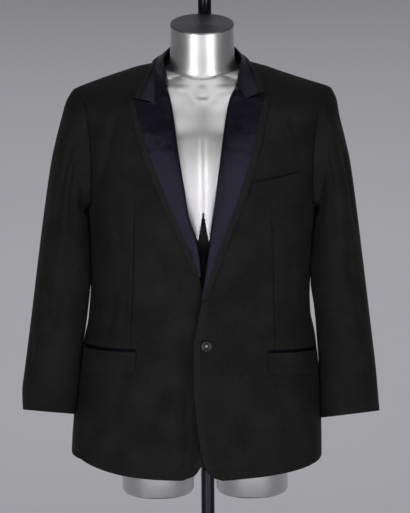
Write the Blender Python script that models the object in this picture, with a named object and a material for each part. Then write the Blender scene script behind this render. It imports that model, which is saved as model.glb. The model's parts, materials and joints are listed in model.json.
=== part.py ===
"""A one-button dinner jacket with peaked satin lapels, buttoned on a limbless dress form.

The jacket is built from its cut pieces: fronts, sides, backs, two-piece sleeves, a folded
collar, folded lapels, ribbon borders, pocket flaps with their jets, a breast welt and a
button. Each cloth piece is a wall of real thickness on one shared body surface, which is
worked out from a short table of girth sections. The form, its neck cap and its stand carry it.

Axes: +Z up, the jacket faces -Y, +X is the wearer's left. Lengths are in metres. The origin
is the centre of the base plate's underside.
"""

import math
from bisect import bisect_right
from collections import namedtuple

import bmesh
import bpy
from mathutils import Vector

# Cloth walls
CLOTH = 0.0018  # wool with its canvas
SATIN = 0.0020  # collar and lapel, cloth and facing together
RIBBON = 0.0008
SEAM_GAP = 0.0007  # between neighbouring pieces at a seam
LAY_GAP = 0.0009  # under a piece that lies on another
FLAP_GAP = 0.0015  # under a pocket flap, which lies over a bend
RIBBON_GAP = 0.0012

# Shoulder and neck
NECK_POINT = (0.097, 1.4330)  # across and height of the shoulder seam beside the collar
SHOULDER_TIP = (0.2348, 1.3905)
SEAM_BACK_AT_NECK, SEAM_BACK_AT_TIP = 0.012, 0.004
ROUND_AT_NECK, ROUND_AT_TIP = 0.045, 0.052  # how far down the shoulder rounds over
NECK_HALF = 0.0745  # neck opening, half its width
NECK_BACK = 0.096  # neck opening, its rearmost point

NECK_DIP, NECK_DIP_FROM, NECK_DIP_TO = 0.0030, 0.090, 0.125  # the line flattens beside the neck
LEFT_SAG = 0.0033  # how much lower the wearer's left shoulder is in its middle

# Hem
HEM_FRONT, HEM_BACK, HEM_SIDE = 0.6765, 0.6900, 0.2350
HemRise = namedtuple("HemRise", "rise power seam_x")
HEM_RISE = {1: HemRise(0.0125, 1.9, 0.2020), -1: HemRise(0.0225, 3.2, 0.2320)}
UNDERARM = 1.1650
FRONT_NOTCH, BACK_NOTCH = 1.1900, 1.2100  # where the side seams reach the armhole

# Overlap of the fronts
OVERLAP_LIFT = 0.0042
BREAK_LIFT = 0.0085  # the upper front stands further out where its lapel starts to roll
OVERLAP_FULL, OVERLAP_END = 0.022, 0.090

# Borders
BORDER = 0.0115
JET_HEIGHT = 0.0055
WELT_DEPTH = 0.0285

# Button
BUTTON_X, BUTTON_Z = 0.0042, 0.9373
BUTTON_RADIUS, BUTTON_THICK, SHANK_RADIUS, SHANK_LENGTH = 0.0100, 0.0034, 0.0022, 0.0018
RING_RADIUS, RING_WIDTH, RING_HEIGHT = 0.0082, 0.0016, 0.0009

# Form and stand
NECK_RADIUS, NECK_TOP, CAP_TILT, CAP_THICK = 0.05875, 1.5150, math.radians(3.5), 0.0035
STUMP_X, STUMP_Y, STUMP_HALF, STUMP_DEPTH = 0.0877, -0.004, 0.0665, 0.0770
STUMP_BOTTOM, STUMP_TOP, STUMP_ROUND = 0.6200, 0.8000, 0.0040
POLE_X, POLE_Y, POLE_RADIUS, POLE_TOP = 0.0050, 0.0745, 0.0125, 1.5950
BORE_RADIUS = 0.0130
CLAMP_RADIUS, CLAMP_HEIGHT = 0.0220, 0.0200
BASE_SIDE, BASE_THICK, BASE_CORNER = 0.3800, 0.0080, 0.0300
FLANGE_RADIUS, FLANGE_HEIGHT = 0.0350, 0.0140
TOUCH = 0.0003  # parts that rest on each other

Girth = namedtuple("Girth", "height half shift front back squareness")
GIRTHS = (
    Girth(0.660, 0.2338, -0.0162, 0.150, 0.140, 2.5),
    Girth(0.760, 0.2315, -0.0135, 0.150, 0.142, 2.5),
    Girth(0.840, 0.2257, -0.0093, 0.149, 0.135, 2.4),
    Girth(0.914, 0.2167, -0.0078, 0.147, 0.124, 2.4),
    Girth(0.960, 0.2078, -0.0081, 0.146, 0.117, 2.4),
    Girth(1.020, 0.2045, -0.0065, 0.143, 0.115, 2.4),
    Girth(1.090, 0.2065, -0.0045, 0.141, 0.120, 2.5),
    Girth(1.165, 0.2105, -0.0030, 0.140, 0.130, 2.6),
    Girth(1.250, 0.2150, -0.0020, 0.133, 0.138, 2.6),
    Girth(1.330, 0.2260, -0.0010, 0.118, 0.136, 2.6),
    Girth(1.390, 0.2470, 0.0000, 0.096, 0.120, 2.6),
    Girth(1.450, 0.2600, 0.0000, 0.060, 0.095, 2.6),
)

Point = namedtuple("Point", "height across")
# Free edge of the upper front, from the hem's round corner to the neck point.
UPPER_EDGE = (
    Point(0.6790, 0.0330),
    Point(0.6838, 0.0183),
    Point(0.6954, 0.0054),
    Point(0.7128, -0.0032),
    Point(0.7781, -0.0130),
    Point(0.8739, -0.0200),
    Point(0.9198, -0.0200),
    Point(1.0060, -0.0065),
    Point(1.0522, 0.0030),
    Point(1.1384, 0.0157),
    Point(1.2290, 0.0283),
    Point(1.3173, 0.0400),
    Point(1.3600, 0.0463),
    Point(1.3979, 0.0545),
    Point(1.4152, 0.0680),
    Point(1.4290, 0.0725),
    Point(1.4378, 0.0745),
)
# Free edge of the front underneath.
UNDER_EDGE = (
    Point(0.6805, 0.0420),
    Point(0.6878, 0.0225),
    Point(0.6973, 0.0131),
    Point(0.7108, 0.0047),
    Point(0.7350, -0.0040),
    Point(0.7700, -0.0120),
    Point(0.8200, -0.0180),
    Point(0.9750, -0.0180),
    Point(1.0200, -0.0050),
    Point(1.0480, 0.0045),
    Point(1.0690, 0.0088),
    Point(1.1000, 0.0100),
    Point(1.1383, 0.0165),
    Point(1.1839, 0.0312),
    Point(1.2291, 0.0380),
    Point(1.3172, 0.0515),
    Point(1.3700, 0.0575),
    Point(1.4150, 0.0710),
    Point(1.4290, 0.0735),
    Point(1.4378, 0.0745),
)
# Armhole edges above the side seams, measured from the body's own centre.
ARMHOLE_FRONT = (
    Point(1.1900, 0.2050),
    Point(1.2400, 0.2045),
    Point(1.2900, 0.2065),
    Point(1.3400, 0.2120),
    Point(1.3700, 0.2180),
    Point(1.3830, 0.2250),
    Point(1.3905, 0.2348),
)
ARMHOLE_BACK = (
    Point(1.2100, 0.2010),
    Point(1.2600, 0.1990),
    Point(1.3100, 0.2020),
    Point(1.3500, 0.2100),
    Point(1.3780, 0.2215),
    Point(1.3905, 0.2348),
)

Seam = namedtuple("Seam", "height share")
# Side seams, as a share of the half width.
FRONT_SEAM = (Seam(0.66, 0.925), Seam(0.84, 0.930), Seam(1.02, 0.935), Seam(1.12, 0.952))
BACK_SEAM = (Seam(0.66, 0.870), Seam(0.84, 0.870), Seam(1.02, 0.880), Seam(1.12, 0.920))

LapelRow = namedtuple("LapelRow", "roll_z roll_x edge_z edge_x")
LAPEL_UNDER = (
    LapelRow(1.4150, -0.0650, 1.3910, -0.1367),
    LapelRow(1.3940, -0.0585, 1.3624, -0.1302),
    LapelRow(1.3598, -0.0525, 1.3250, -0.1190),
    LapelRow(1.3172, -0.0470, 1.2810, -0.1056),
    LapelRow(1.2734, -0.0405, 1.2300, -0.0849),
    LapelRow(1.2291, -0.0335, 1.1870, -0.0665),
    LapelRow(1.1839, -0.0268, 1.1450, -0.0480),
    LapelRow(1.1383, -0.0122, 1.1080, -0.0322),
    LapelRow(1.1000, -0.0056, 1.0830, -0.0222),
    LapelRow(1.0690, -0.0033, 1.0670, -0.0147),
)
LAPEL_UPPER = (
    LapelRow(1.4152, 0.0613, 1.3938, 0.1249),
    LapelRow(1.3960, 0.0500, 1.3680, 0.1178),
    LapelRow(1.3600, 0.0418, 1.3300, 0.1101),
    LapelRow(1.3173, 0.0355, 1.2840, 0.0988),
    LapelRow(1.2736, 0.0297, 1.2390, 0.0843),
    LapelRow(1.2290, 0.0238, 1.1940, 0.0700),
    LapelRow(1.1840, 0.0175, 1.1520, 0.0527),
    LapelRow(1.1384, 0.0112, 1.1120, 0.0365),
    LapelRow(1.0962, 0.0050, 1.0740, 0.0232),
    LapelRow(1.0600, -0.0003, 1.0460, 0.0128),
    LapelRow(1.0290, -0.0067, 1.0255, 0.0042),
)
Gorge = namedtuple("Gorge", "share dip")
GORGE = {-1: Gorge(0.19, 0.0218), 1: Gorge(0.165, 0.0163)}  # where the collar seam turns, and its dip

Roll = namedtuple("Roll", "across lift")
# The fold at the roll line: from inside the front's edge, round it, and out over the front.
ROLL_FOLD = (
    Roll(0.0080, -0.0046),
    Roll(0.0034, -0.0043),
    Roll(0.0014, -0.0020),
    Roll(0.0014, 0.0018),
    Roll(0.0038, 0.0046),
    Roll(0.0085, 0.0055),
)
LEAF_MIDDLE_LIFT, LEAF_EDGE_LIFT = 0.0050, 0.0024
# The collar's stand and fold at its front end, beside the neck edge.
COLLAR_FOLD = (
    Roll(0.0022, -0.0085),
    Roll(0.0016, -0.0045),
    Roll(0.0012, -0.0015),
    Roll(0.0014, 0.0018),
    Roll(0.0038, 0.0046),
)

Station = namedtuple("Station", "fold base edge narrowed")
# The collar from beside the gorge to the centre back: x, y and z on one side, then how much of
# its side's narrowing the leaf takes there.
COLLAR = (
    Station((0.0700, -0.0500, 1.4345), (0.0662, -0.0490, 1.4260), (0.1060, -0.0310, 1.4272), 0.5),
    Station((0.0733, -0.0150, 1.4465), (0.0690, -0.0140, 1.4320), (0.0955, 0.0040, 1.4342), 1.0),
    Station((0.0712, 0.0200, 1.4490), (0.0686, 0.0190, 1.4320), (0.0920, 0.0400, 1.4330), 1.0),
    Station((0.0600, 0.0530, 1.4545), (0.0575, 0.0470, 1.4300), (0.0835, 0.0760, 1.4256), 0.8),
    Station((0.0425, 0.0805, 1.4560), (0.0398, 0.0730, 1.4295), (0.0600, 0.1065, 1.4140), 0.3),
    Station((0.0200, 0.0948, 1.4575), (0.0190, 0.0866, 1.4292), (0.0285, 0.1165, 1.4105), 0.0),
    Station((0.0000, 0.0978, 1.4580), (0.0000, 0.0897, 1.4292), (0.0000, 0.1185, 1.4100), 0.0),
)
COLLAR_NARROW = {-1: 0.0020, 1: 0.0070}  # the leaf is narrower on the wearer's left
COLLAR_END_UNDER, COLLAR_END_UPPER = (-0.1248, 1.3928), (0.1122, 1.4005)

Ring = namedtuple("Ring", "out_x out_z in_x in_z middle_y half_depth tilt")
SLEEVE_UNDER_FRONT_SIDE = (
    Ring(0.2505, 1.3640, 0.2150, 1.1610, 0.004, 0.0680, 0),
    Ring(0.2624, 1.3290, 0.2152, 1.1570, 0.004, 0.0740, 0),
    Ring(0.2745, 1.2830, 0.2150, 1.1530, 0.003, 0.0790, 0),
    Ring(0.2839, 1.2370, 0.2134, 1.1480, 0.003, 0.0815, 0),
    Ring(0.2972, 1.1445, 0.2085, 1.1200, 0.001, 0.0820, 0),
    Ring(0.3093, 1.0520, 0.2055, 1.0520, -0.004, 0.0780, 3),
    Ring(0.3209, 0.9600, 0.2165, 0.9600, -0.012, 0.0710, 7),
    Ring(0.3332, 0.8675, 0.2290, 0.8675, -0.022, 0.0630, 11),
    Ring(0.3393, 0.8210, 0.2345, 0.8190, -0.027, 0.0580, 13.5),
    Ring(0.3386, 0.7828, 0.2405, 0.7735, -0.031, 0.0530, 15.5),
)
SLEEVE_UPPER_FRONT_SIDE = (
    Ring(0.2460, 1.3640, 0.2100, 1.1610, 0.004, 0.0680, 0),
    Ring(0.2539, 1.3290, 0.2098, 1.1570, 0.004, 0.0740, 0),
    Ring(0.2657, 1.2830, 0.2092, 1.1530, 0.003, 0.0790, 0),
    Ring(0.2749, 1.2370, 0.2072, 1.1480, 0.003, 0.0820, 0),
    Ring(0.2866, 1.1445, 0.2012, 1.1200, 0.001, 0.0830, 0),
    Ring(0.2972, 1.0520, 0.1945, 1.0520, -0.004, 0.0790, 3),
    Ring(0.3077, 0.9600, 0.2060, 0.9600, -0.012, 0.0710, 7),
    Ring(0.3182, 0.8675, 0.2120, 0.8675, -0.022, 0.0630, 11),
    Ring(0.3222, 0.8210, 0.2150, 0.8190, -0.027, 0.0580, 13.5),
    Ring(0.3257, 0.7765, 0.2155, 0.7632, -0.031, 0.0540, 15.5),
)
BODY_CLEARANCE = 0.0012  # between a hanging sleeve and the body's side
PRESS_FULL, PRESS_NONE = 1.1350, 1.1600  # heights between which that pressing fades
SLEEVE_SQUARENESS = 2.2
SLEEVE_SEAT = 0.0028  # from the armhole's edge, under the arm
SLEEVE_HEAD_OUT = {-1: 0.0030, 1: 0.0028}  # and on top
ARMHOLE_SPREAD = (0.31, 0.14, 0.04)  # how much of the armhole's shape the first rings keep
FRONT_SHARE, BACK_SHARE = 0.39, 0.30  # of the sleeve's girth, from its outer line to each seam
SLEEVE_SEAM_SHARE = 0.0008  # half the gap at each sleeve seam, as a share of the girth

Level = namedtuple("Level", "height half front back squareness")
TORSO = (
    Level(0.715, 0.1500, 0.085, 0.104, 2.3),
    Level(0.745, 0.1640, 0.104, 0.112, 2.3),
    Level(0.800, 0.1690, 0.114, 0.116, 2.3),
    Level(0.870, 0.1640, 0.115, 0.110, 2.3),
    Level(0.920, 0.1570, 0.088, 0.106, 2.3),
    Level(0.960, 0.1500, 0.065, 0.102, 2.3),
    Level(1.000, 0.1520, 0.063, 0.102, 2.3),
    Level(1.040, 0.1540, 0.077, 0.103, 2.3),
    Level(1.100, 0.1620, 0.1045, 0.107, 2.3),
    Level(1.125, 0.1660, 0.115, 0.109, 2.3),
    Level(1.150, 0.1710, 0.118, 0.110, 2.3),
    Level(1.200, 0.1770, 0.119, 0.112, 2.4),
    Level(1.260, 0.1840, 0.1165, 0.115, 2.4),
    Level(1.320, 0.1890, 0.1065, 0.114, 2.4),
    Level(1.3600, 0.1890, 0.0920, 0.1070, 2.4),
    Level(1.3850, 0.1840, 0.0810, 0.1000, 2.3),
    Level(1.3985, 0.1730, 0.0730, 0.0940, 2.2),
    Level(1.4088, 0.1530, 0.0680, 0.0880, 2.1),
    Level(1.4162, 0.1290, 0.0640, 0.0820, 2.0),
    Level(1.4212, 0.1100, 0.0615, 0.0760, 2.0),
    Level(1.4246, 0.0940, 0.0602, 0.0715, 2.0),
    Level(1.4276, 0.0800, 0.0600, 0.0675, 2.0),
    Level(1.4300, 0.0675, 0.0600, 0.0640, 2.0),
    Level(1.4420, 0.0610, 0.0600, 0.0605, 2.0),
    Level(1.470, 0.0589, 0.0588, 0.0588, 2.0),
)
TORSO_SIDES = 36

# Where each wall has its rows and columns, closest together where its surface bends most.
SHOULDER_ROWS = (0.96, 0.98, 0.992, 0.998, 1.0)
FRONT_ROWS = (0, 0.006, 0.014, 0.026, 0.048, 0.10, 0.17, 0.25, 0.33, 0.37, 0.40, 0.43, 0.47, 0.53)
FRONT_ROWS += (0.61, 0.69, 0.77, 0.84, 0.895, 0.925, 0.945) + SHOULDER_ROWS
FRONT_COLUMNS = (0, 0.06, 0.14, 0.26, 0.40, 0.54, 0.66, 0.76, 0.85, 0.93, 1.0)
BACK_ROWS = (0, 0.10, 0.20, 0.30, 0.40, 0.50, 0.60, 0.70, 0.79, 0.86, 0.91, 0.94) + SHOULDER_ROWS
BACK_COLUMNS = (0, 0.11, 0.20, 0.26, 0.30, 0.335, 0.42, 0.56, 0.70, 0.82, 0.92, 1.0)
SLEEVE_ROWS = (0, 0.03, 0.07, 0.12, 0.18, 0.25, 0.33, 0.42, 0.5, 0.6, 0.7, 0.8, 0.9, 1.0)
LAPEL_ROWS = (0, 0.035, 0.07, 0.11, 0.16, 0.22, 0.3, 0.4, 0.5, 0.6, 0.7, 0.8, 0.9, 1.0)
FLAP_ROWS = (0, 0.3, 0.6, 0.77, 0.85, 0.92, 0.97, 0.995)
COLLAR_ROWS = tuple(k / 7 for k in (0, 1, 2, 2.5, 3, 3.5, 4, 5, 6, 7))


def steady(rows, at, column=1):
    """The column at a key, on a smooth curve through the rows that never overshoots them."""
    keys = [row[0] for row in rows]
    values = [row[column] for row in rows]
    if at <= keys[0]:
        return values[0]
    if at >= keys[-1]:
        return values[-1]
    k = bisect_right(keys, at) - 1
    gaps = [b - a for a, b in zip(keys, keys[1:])]
    slopes = [(b - a) / gap for a, b, gap in zip(values, values[1:], gaps)]

    def tangent(i):
        if i == 0:
            return slopes[0]
        if i == len(keys) - 1:
            return slopes[-1]
        before, after = slopes[i - 1], slopes[i]
        return 0.0 if before * after <= 0 else 2 * before * after / (before + after)

    gap = gaps[k]
    s = (at - keys[k]) / gap
    return (
        (1 + 2 * s) * (1 - s) ** 2 * values[k]
        + s * (1 - s) ** 2 * gap * tangent(k)
        + s * s * (3 - 2 * s) * values[k + 1]
        + s * s * (s - 1) * gap * tangent(k + 1)
    )


def mix(a, b, share):
    return a + (b - a) * share


def ramp(value, start, end):
    """0 at start, 1 at end, eased at both."""
    s = min(max((value - start) / (end - start), 0.0), 1.0)
    return s * s * (3 - 2 * s)


# The body surface


def girth(z):
    return Girth(z, *(steady(GIRTHS, z, column) for column in range(1, 6)))


def seam_height(x):
    run = SHOULDER_TIP[0] - NECK_POINT[0]
    slope = (SHOULDER_TIP[1] - NECK_POINT[1]) / run
    along = min(max((x - NECK_POINT[0]) / run, 0.0), 1.0)
    sag = LEFT_SAG * 4 * along * (1 - along)  # nothing on the wearer's right, where along is 0
    dip = NECK_DIP * (1 - ramp(abs(x), NECK_DIP_FROM, NECK_DIP_TO))
    return NECK_POINT[1] + (abs(x) - NECK_POINT[0]) * slope - sag - dip


def seam_depth(x):
    share = min(max((abs(x) - NECK_HALF) / (SHOULDER_TIP[0] - NECK_HALF), 0.0), 1.0)
    return mix(SEAM_BACK_AT_NECK, SEAM_BACK_AT_TIP, share)


def shoulder_round(x):
    share = min(max((abs(x) - NECK_HALF) / (SHOULDER_TIP[0] - NECK_HALF), 0.0), 1.0)
    return mix(ROUND_AT_NECK, ROUND_AT_TIP, share)


def rounded_over(x, y, z):
    """The depth y, drawn in to the shoulder seam near the top."""
    size, top = shoulder_round(x), seam_height(x)
    cosine = min(max(1 - (top - z) / size, 0.0), 1.0)
    middle = seam_depth(x)
    return middle + (y - middle) * math.sqrt(1 - cosine * cosine)


def depth_at(x, z, face):
    """Depth of the body surface at a place seen from the front (face -1) or back (face 1)."""
    size = girth(z)
    share = min(abs(x - size.shift) / size.half, 1.0)
    reach = size.front if face < 0 else size.back
    y = face * reach * (1 - share**size.squareness) ** (1 / size.squareness)
    return rounded_over(x, y, z)


def skin(x, z, face, lift=0.0):
    """A point of the front or back, moved out by lift."""
    step = 0.0004
    slope_x = (depth_at(x + step, z, face) - depth_at(x - step, z, face)) / (2 * step)
    slope_z = (depth_at(x, z + step, face) - depth_at(x, z - step, face)) / (2 * step)
    out = Vector((-slope_x, 1.0, -slope_z)) * face
    y = depth_at(x, z, face) + face * SEAM_GAP / 2
    return Vector((x, y, z)) + out.normalized() * lift


def flank(side, angle, z):
    """A point of the girth: angle -90 degrees is the centre front, 90 the centre back."""
    size = girth(z)
    power = 2 / size.squareness
    reach = size.front if angle < 0 else size.back
    x = size.shift + side * size.half * math.cos(angle) ** power
    y = math.copysign(reach * abs(math.sin(angle)) ** power, angle)
    return Vector((x, rounded_over(x, y, z), z))


def angle_of(share, z, face):
    """The angle at which the girth is this share of its half width from the middle."""
    return face * math.acos(min(share, 1.0) ** (girth(z).squareness / 2))


def hem_height(x, side):
    """Height of the front hem this far out from the middle."""
    shape = HEM_RISE[side]
    return HEM_FRONT + shape.rise * (min(abs(x), HEM_SIDE) / HEM_SIDE) ** shape.power


# Walls


def normal_of(point, u, v, out):
    step = 0.0015
    along = point(min(u + step, 1), v) - point(max(u - step, 0), v)
    up = point(u, min(v + step, 1)) - point(u, max(v - step, 0))
    return along.cross(up).normalized() * out


def lifted(point, lift, out):
    """The same surface, moved out."""
    return lambda u, v: point(u, v) + normal_of(point, u, v, out) * lift


def wall(name, point, us, vs, thick, out, material):
    """A closed wall whose outer face is point(u, v), with its inner face thick further in."""
    mesh = bmesh.new()
    outer, inner = [], []
    for v in vs:
        outer.append([mesh.verts.new(point(u, v)) for u in us])
        inner.append([mesh.verts.new(point(u, v) - normal_of(point, u, v, out) * thick) for u in us])
    corners = []
    for i in range(len(vs) - 1):
        for j in range(len(us) - 1):
            corners.append((outer[i][j], outer[i][j + 1], outer[i + 1][j + 1], outer[i + 1][j]))
            corners.append((inner[i][j], inner[i + 1][j], inner[i + 1][j + 1], inner[i][j + 1]))
    rim = [(0, j) for j in range(len(us))]
    rim += [(i, len(us) - 1) for i in range(1, len(vs))]
    rim += [(len(vs) - 1, j) for j in range(len(us) - 2, -1, -1)]
    rim += [(i, 0) for i in range(len(vs) - 2, 0, -1)]
    for (i, j), (k, m) in zip(rim, rim[1:] + rim[:1]):
        corners.append((outer[i][j], inner[i][j], inner[k][m], outer[k][m]))
    for face in corners:
        mesh.faces.new(face if out > 0 else face[::-1])
    return finish(name, mesh, material, turn_faces=False)


def finish(name, mesh, material, turn_faces=True, smooth_below=40):
    """The object of a closed mesh, faces out, smooth but for its sharp edges."""
    bmesh.ops.triangulate(mesh, faces=mesh.faces[:])
    if turn_faces:
        bmesh.ops.recalc_face_normals(mesh, faces=mesh.faces[:])
    data = bpy.data.meshes.new(name)
    mesh.to_mesh(data)
    mesh.free()
    data.shade_smooth()
    data.set_sharp_from_angle(angle=math.radians(smooth_below))
    data.materials.append(material)
    made = bpy.data.objects.new(name, data)
    bpy.context.scene.collection.objects.link(made)
    return made


def paint(name, colour, roughness, metallic=0.0):
    made = bpy.data.materials.new(name)
    made.use_nodes = True
    shader = made.node_tree.nodes["Principled BSDF"]
    shader.inputs["Base Color"].default_value = (*colour, 1.0)
    shader.inputs["Roughness"].default_value = roughness
    shader.inputs["Metallic"].default_value = metallic
    return made


def even(count):
    return [k / (count - 1) for k in range(count)]


# Body panels


def overlap_lift(x, z):
    """How far the upper front stands off the body surface where it lies over the other."""
    near = 1 - ramp(x, OVERLAP_FULL, OVERLAP_END)
    rolled = ramp(z, 0.945, 1.020) * (1 - ramp(z, 1.060, 1.200))
    height = mix(OVERLAP_LIFT * (1 - ramp(z, 1.05, 1.20)), BREAK_LIFT, rolled)
    return height * near


def front_point(side):
    """The surface of a front: u from its free edge to the side, v from the hem up."""
    edge = UPPER_EDGE if side > 0 else UNDER_EDGE

    def outer_edge(z):
        size = girth(z)
        if z < FRONT_NOTCH:
            joined = FRONT_SEAM + (Seam(FRONT_NOTCH, ARMHOLE_FRONT[0].across / girth(FRONT_NOTCH).half),)
            return side * size.shift + size.half * steady(joined, z) - SEAM_GAP / 2
        return side * size.shift + steady(ARMHOLE_FRONT, z)

    shoulder_end = outer_edge(SHOULDER_TIP[1])

    def point(u, v):
        inner_z = mix(edge[0].height, edge[-1].height, v)
        start = steady(edge, inner_z)
        hem_end = hem_height(HEM_RISE[side].seam_x, side)
        outer_z = mix(hem_end, SHOULDER_TIP[1], v)
        end = outer_edge(outer_z)
        x = mix(start, end, u)
        z = mix(inner_z, outer_z, u)
        z += (hem_height(x, side) - mix(edge[0].height, hem_end, u)) * (1 - v) ** 4
        seam_x = mix(edge[-1].across, shoulder_end, u)
        z += (seam_height(side * seam_x) - mix(edge[-1].height, SHOULDER_TIP[1], u)) * v**8
        z = min(z, seam_height(side * x))
        lift = overlap_lift(x, z) if side > 0 else 0.0
        return skin(side * x, z, -1, lift)

    return point


def back_neck_height(x):
    """Height of the neck seam at the back."""
    if abs(x) >= NECK_HALF:
        return seam_height(x)
    middle = seam_depth(x)
    wanted = middle + (NECK_BACK - middle) * math.sqrt(1 - (x / NECK_HALF) ** 2)
    full = girth(seam_height(x) - 0.03).back
    sine = min((wanted - middle) / (full - middle), 1.0)
    return seam_height(x) - shoulder_round(x) * (1 - math.sqrt(1 - sine * sine))


def back_point(side):
    """The surface of a back: u from the centre seam to the side, v from the hem up."""
    top_middle = back_neck_height(0.0)

    def outer_edge(z):
        size = girth(z)
        if z < BACK_NOTCH:
            joined = BACK_SEAM + (Seam(BACK_NOTCH, ARMHOLE_BACK[0].across / girth(BACK_NOTCH).half),)
            return side * size.shift + size.half * steady(joined, z) - SEAM_GAP / 2
        return side * size.shift + steady(ARMHOLE_BACK, z)

    def point(u, v):
        inner_z = mix(HEM_BACK, top_middle, v)
        outer_z = mix(HEM_BACK, SHOULDER_TIP[1], v)
        start = side * girth(inner_z).shift * (1 - v) + SEAM_GAP / 2
        x = mix(start, outer_edge(outer_z), u)
        top = back_neck_height(side * x)
        z = mix(inner_z, outer_z, u)
        z += (top - mix(top_middle, SHOULDER_TIP[1], u)) * v**8
        return skin(side * x, min(z, seam_height(side * x)), 1)

    return point


def side_point(side):
    """The surface of a side: u from the front seam to the back seam, v from the hem up."""

    def seam_angle(rows, notch, armhole, z, face):
        joined = rows + (Seam(notch, armhole[0].across / girth(notch).half),)
        share = steady(joined, z) + SEAM_GAP / 2 / girth(z).half
        return angle_of(share, z, face)

    def point(u, v):
        rise = (FRONT_NOTCH if u < 0.5 else BACK_NOTCH) - UNDERARM
        top = UNDERARM + rise * abs(2 * u - 1) ** 2.4
        hem = mix(hem_height(HEM_RISE[side].seam_x, side), HEM_BACK, u)
        z = mix(hem, top, v)
        first = seam_angle(FRONT_SEAM, FRONT_NOTCH, ARMHOLE_FRONT, z, -1)
        last = seam_angle(BACK_SEAM, BACK_NOTCH, ARMHOLE_BACK, z, 1)
        return flank(side, mix(first, last, u), z)

    return point


# Sleeves


def armhole_ring(side):
    """The armhole's edge from the shoulder tip down the front, under the arm and up the back."""

    def up_edge(rows, face, share):
        z = mix(rows[0].height, rows[-1].height, math.sin(share * math.pi / 2))
        x = side * steady(rows, z) + girth(z).shift
        return skin(x, min(z, seam_height(x)), face)

    shares = even(13)
    side_top = side_point(side)
    front = [up_edge(ARMHOLE_FRONT, -1, share) for share in reversed(shares)]
    under = [side_top(u / 10, 1.0) for u in range(1, 10)]
    back = [up_edge(ARMHOLE_BACK, 1, share) for share in shares[:-1]]
    return front + under + back


def along_loop(points, share):
    """The point this share of the way round a closed loop, at an even pace."""
    loop = points + points[:1]
    lengths = [(b - a).length for a, b in zip(loop, loop[1:])]
    left = (share % 1.0) * sum(lengths)
    for (a, b), length in zip(zip(loop, loop[1:]), lengths):
        if left <= length:
            return a.lerp(b, left / length)
        left -= length
    return loop[-1].copy()


def oval_ring(side, ring, sides=48):
    """A sleeve section, from its outer line round by the front."""
    outer = Vector((side * ring.out_x, ring.middle_y, ring.out_z))
    inner = Vector((side * ring.in_x, ring.middle_y, ring.in_z))
    middle, half = (outer + inner) / 2, (outer - inner) / 2
    power = 2 / SLEEVE_SQUARENESS
    points = []
    for k in range(sides):
        turn = 2 * math.pi * k / sides
        c, s = math.cos(turn), math.sin(turn)
        across = math.copysign(abs(c) ** power, c)
        forward = -math.copysign(abs(s) ** power, s) * ring.half_depth
        rise = -forward * math.tan(math.radians(ring.tilt))
        points.append(middle + half * across + Vector((0, forward, rise)))
    return points


def clear_of_body(side, point):
    """A point of a sleeve, pressed out where it would reach into the body's side."""
    size = girth(point.z)
    reach = (size.front if point.y < 0 else size.back) + BODY_CLEARANCE
    share = min(abs(point.y) / reach, 1.0)
    half = (size.half + BODY_CLEARANCE) * (1 - share**size.squareness) ** (1 / size.squareness)
    short = max(size.shift * side + half - side * point.x, 0.0)
    pressed = short * (1 - ramp(point.z, PRESS_FULL, PRESS_NONE))
    return point + Vector((side * pressed, 0, 0))


def sleeve_point(side):
    """The surface of a whole sleeve: u round it from the outer line, v from armhole to cuff."""
    table = SLEEVE_UPPER_FRONT_SIDE if side > 0 else SLEEVE_UNDER_FRONT_SIDE
    ovals = [oval_ring(side, ring) for ring in table]
    hole = armhole_ring(side)
    spread = ARMHOLE_SPREAD

    def ring_at(k, u):
        if k == 0:
            start, towards = along_loop(hole, u), along_loop(ovals[2], u)
            on_top = max(math.cos(2 * math.pi * u), 0.0) ** 2
            along = (towards - start).normalized() * SLEEVE_SEAT
            return start + along.lerp(Vector((side * SLEEVE_HEAD_OUT[side], 0, 0)), on_top)
        point = along_loop(ovals[k - 1], u)
        if k > len(spread):
            return point
        centre = sum(ovals[k - 1], Vector()) / len(ovals[k - 1])
        hole_centre = sum(hole, Vector()) / len(hole)
        moved = along_loop(hole, u) - hole_centre + centre
        return point.lerp(moved, spread[k - 1])

    def point(u, v):
        place = min(max(v, 0.0), 1.0) * len(ovals)
        k = min(int(place), len(ovals) - 1)
        s = place - k
        before, a = ring_at(max(k - 1, 0), u), ring_at(k, u)
        b, after = ring_at(k + 1, u), ring_at(min(k + 2, len(ovals)), u)
        slope_a, slope_b = (b - before) / 2, (after - a) / 2
        on_curve = (
            a * (1 + 2 * s) * (1 - s) ** 2
            + slope_a * s * (1 - s) ** 2
            + b * s * s * (3 - 2 * s)
            + slope_b * s * s * (s - 1)
        )
        return clear_of_body(side, on_curve)

    return point


def arc_of(point, first, last):
    """The stretch of a ring between two shares of its girth, as u from 0 to 1."""
    return lambda u, v: point(mix(first, last, u), v)


# Lapels and collar


def lapel_row(side, s):
    table = LAPEL_UPPER if side > 0 else LAPEL_UNDER
    place = s * (len(table) - 1)
    rows = [(k, *row) for k, row in enumerate(table)]
    return LapelRow(*(steady(rows, place, column) for column in range(1, 5)))


def gorge_corner(side, width):
    """How far across from the roll line the collar seam turns."""
    return mix(ROLL_FOLD[-1].across, width, GORGE[side].share)


def lapel_place(side, s, across, lift):
    """A point over the front, this far across from the roll line."""
    row = lapel_row(side, s)
    span = Vector((row.edge_x - row.roll_x, row.edge_z - row.roll_z))
    width = span.length
    share = across / width
    turn = gorge_corner(side, width) / width
    dip = share / turn if share < turn else (1 - share) / (1 - turn)
    dip = max(min(dip, 1.0), 0.0) * GORGE[side].dip * max(1 - s / 0.28, 0.0) ** 2
    x = row.roll_x + span.x * share
    z = row.roll_z + span.y * share - dip
    base = overlap_lift(x, z) if side > 0 else 0.0
    return skin(x, z, -1, base + lift)


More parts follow.
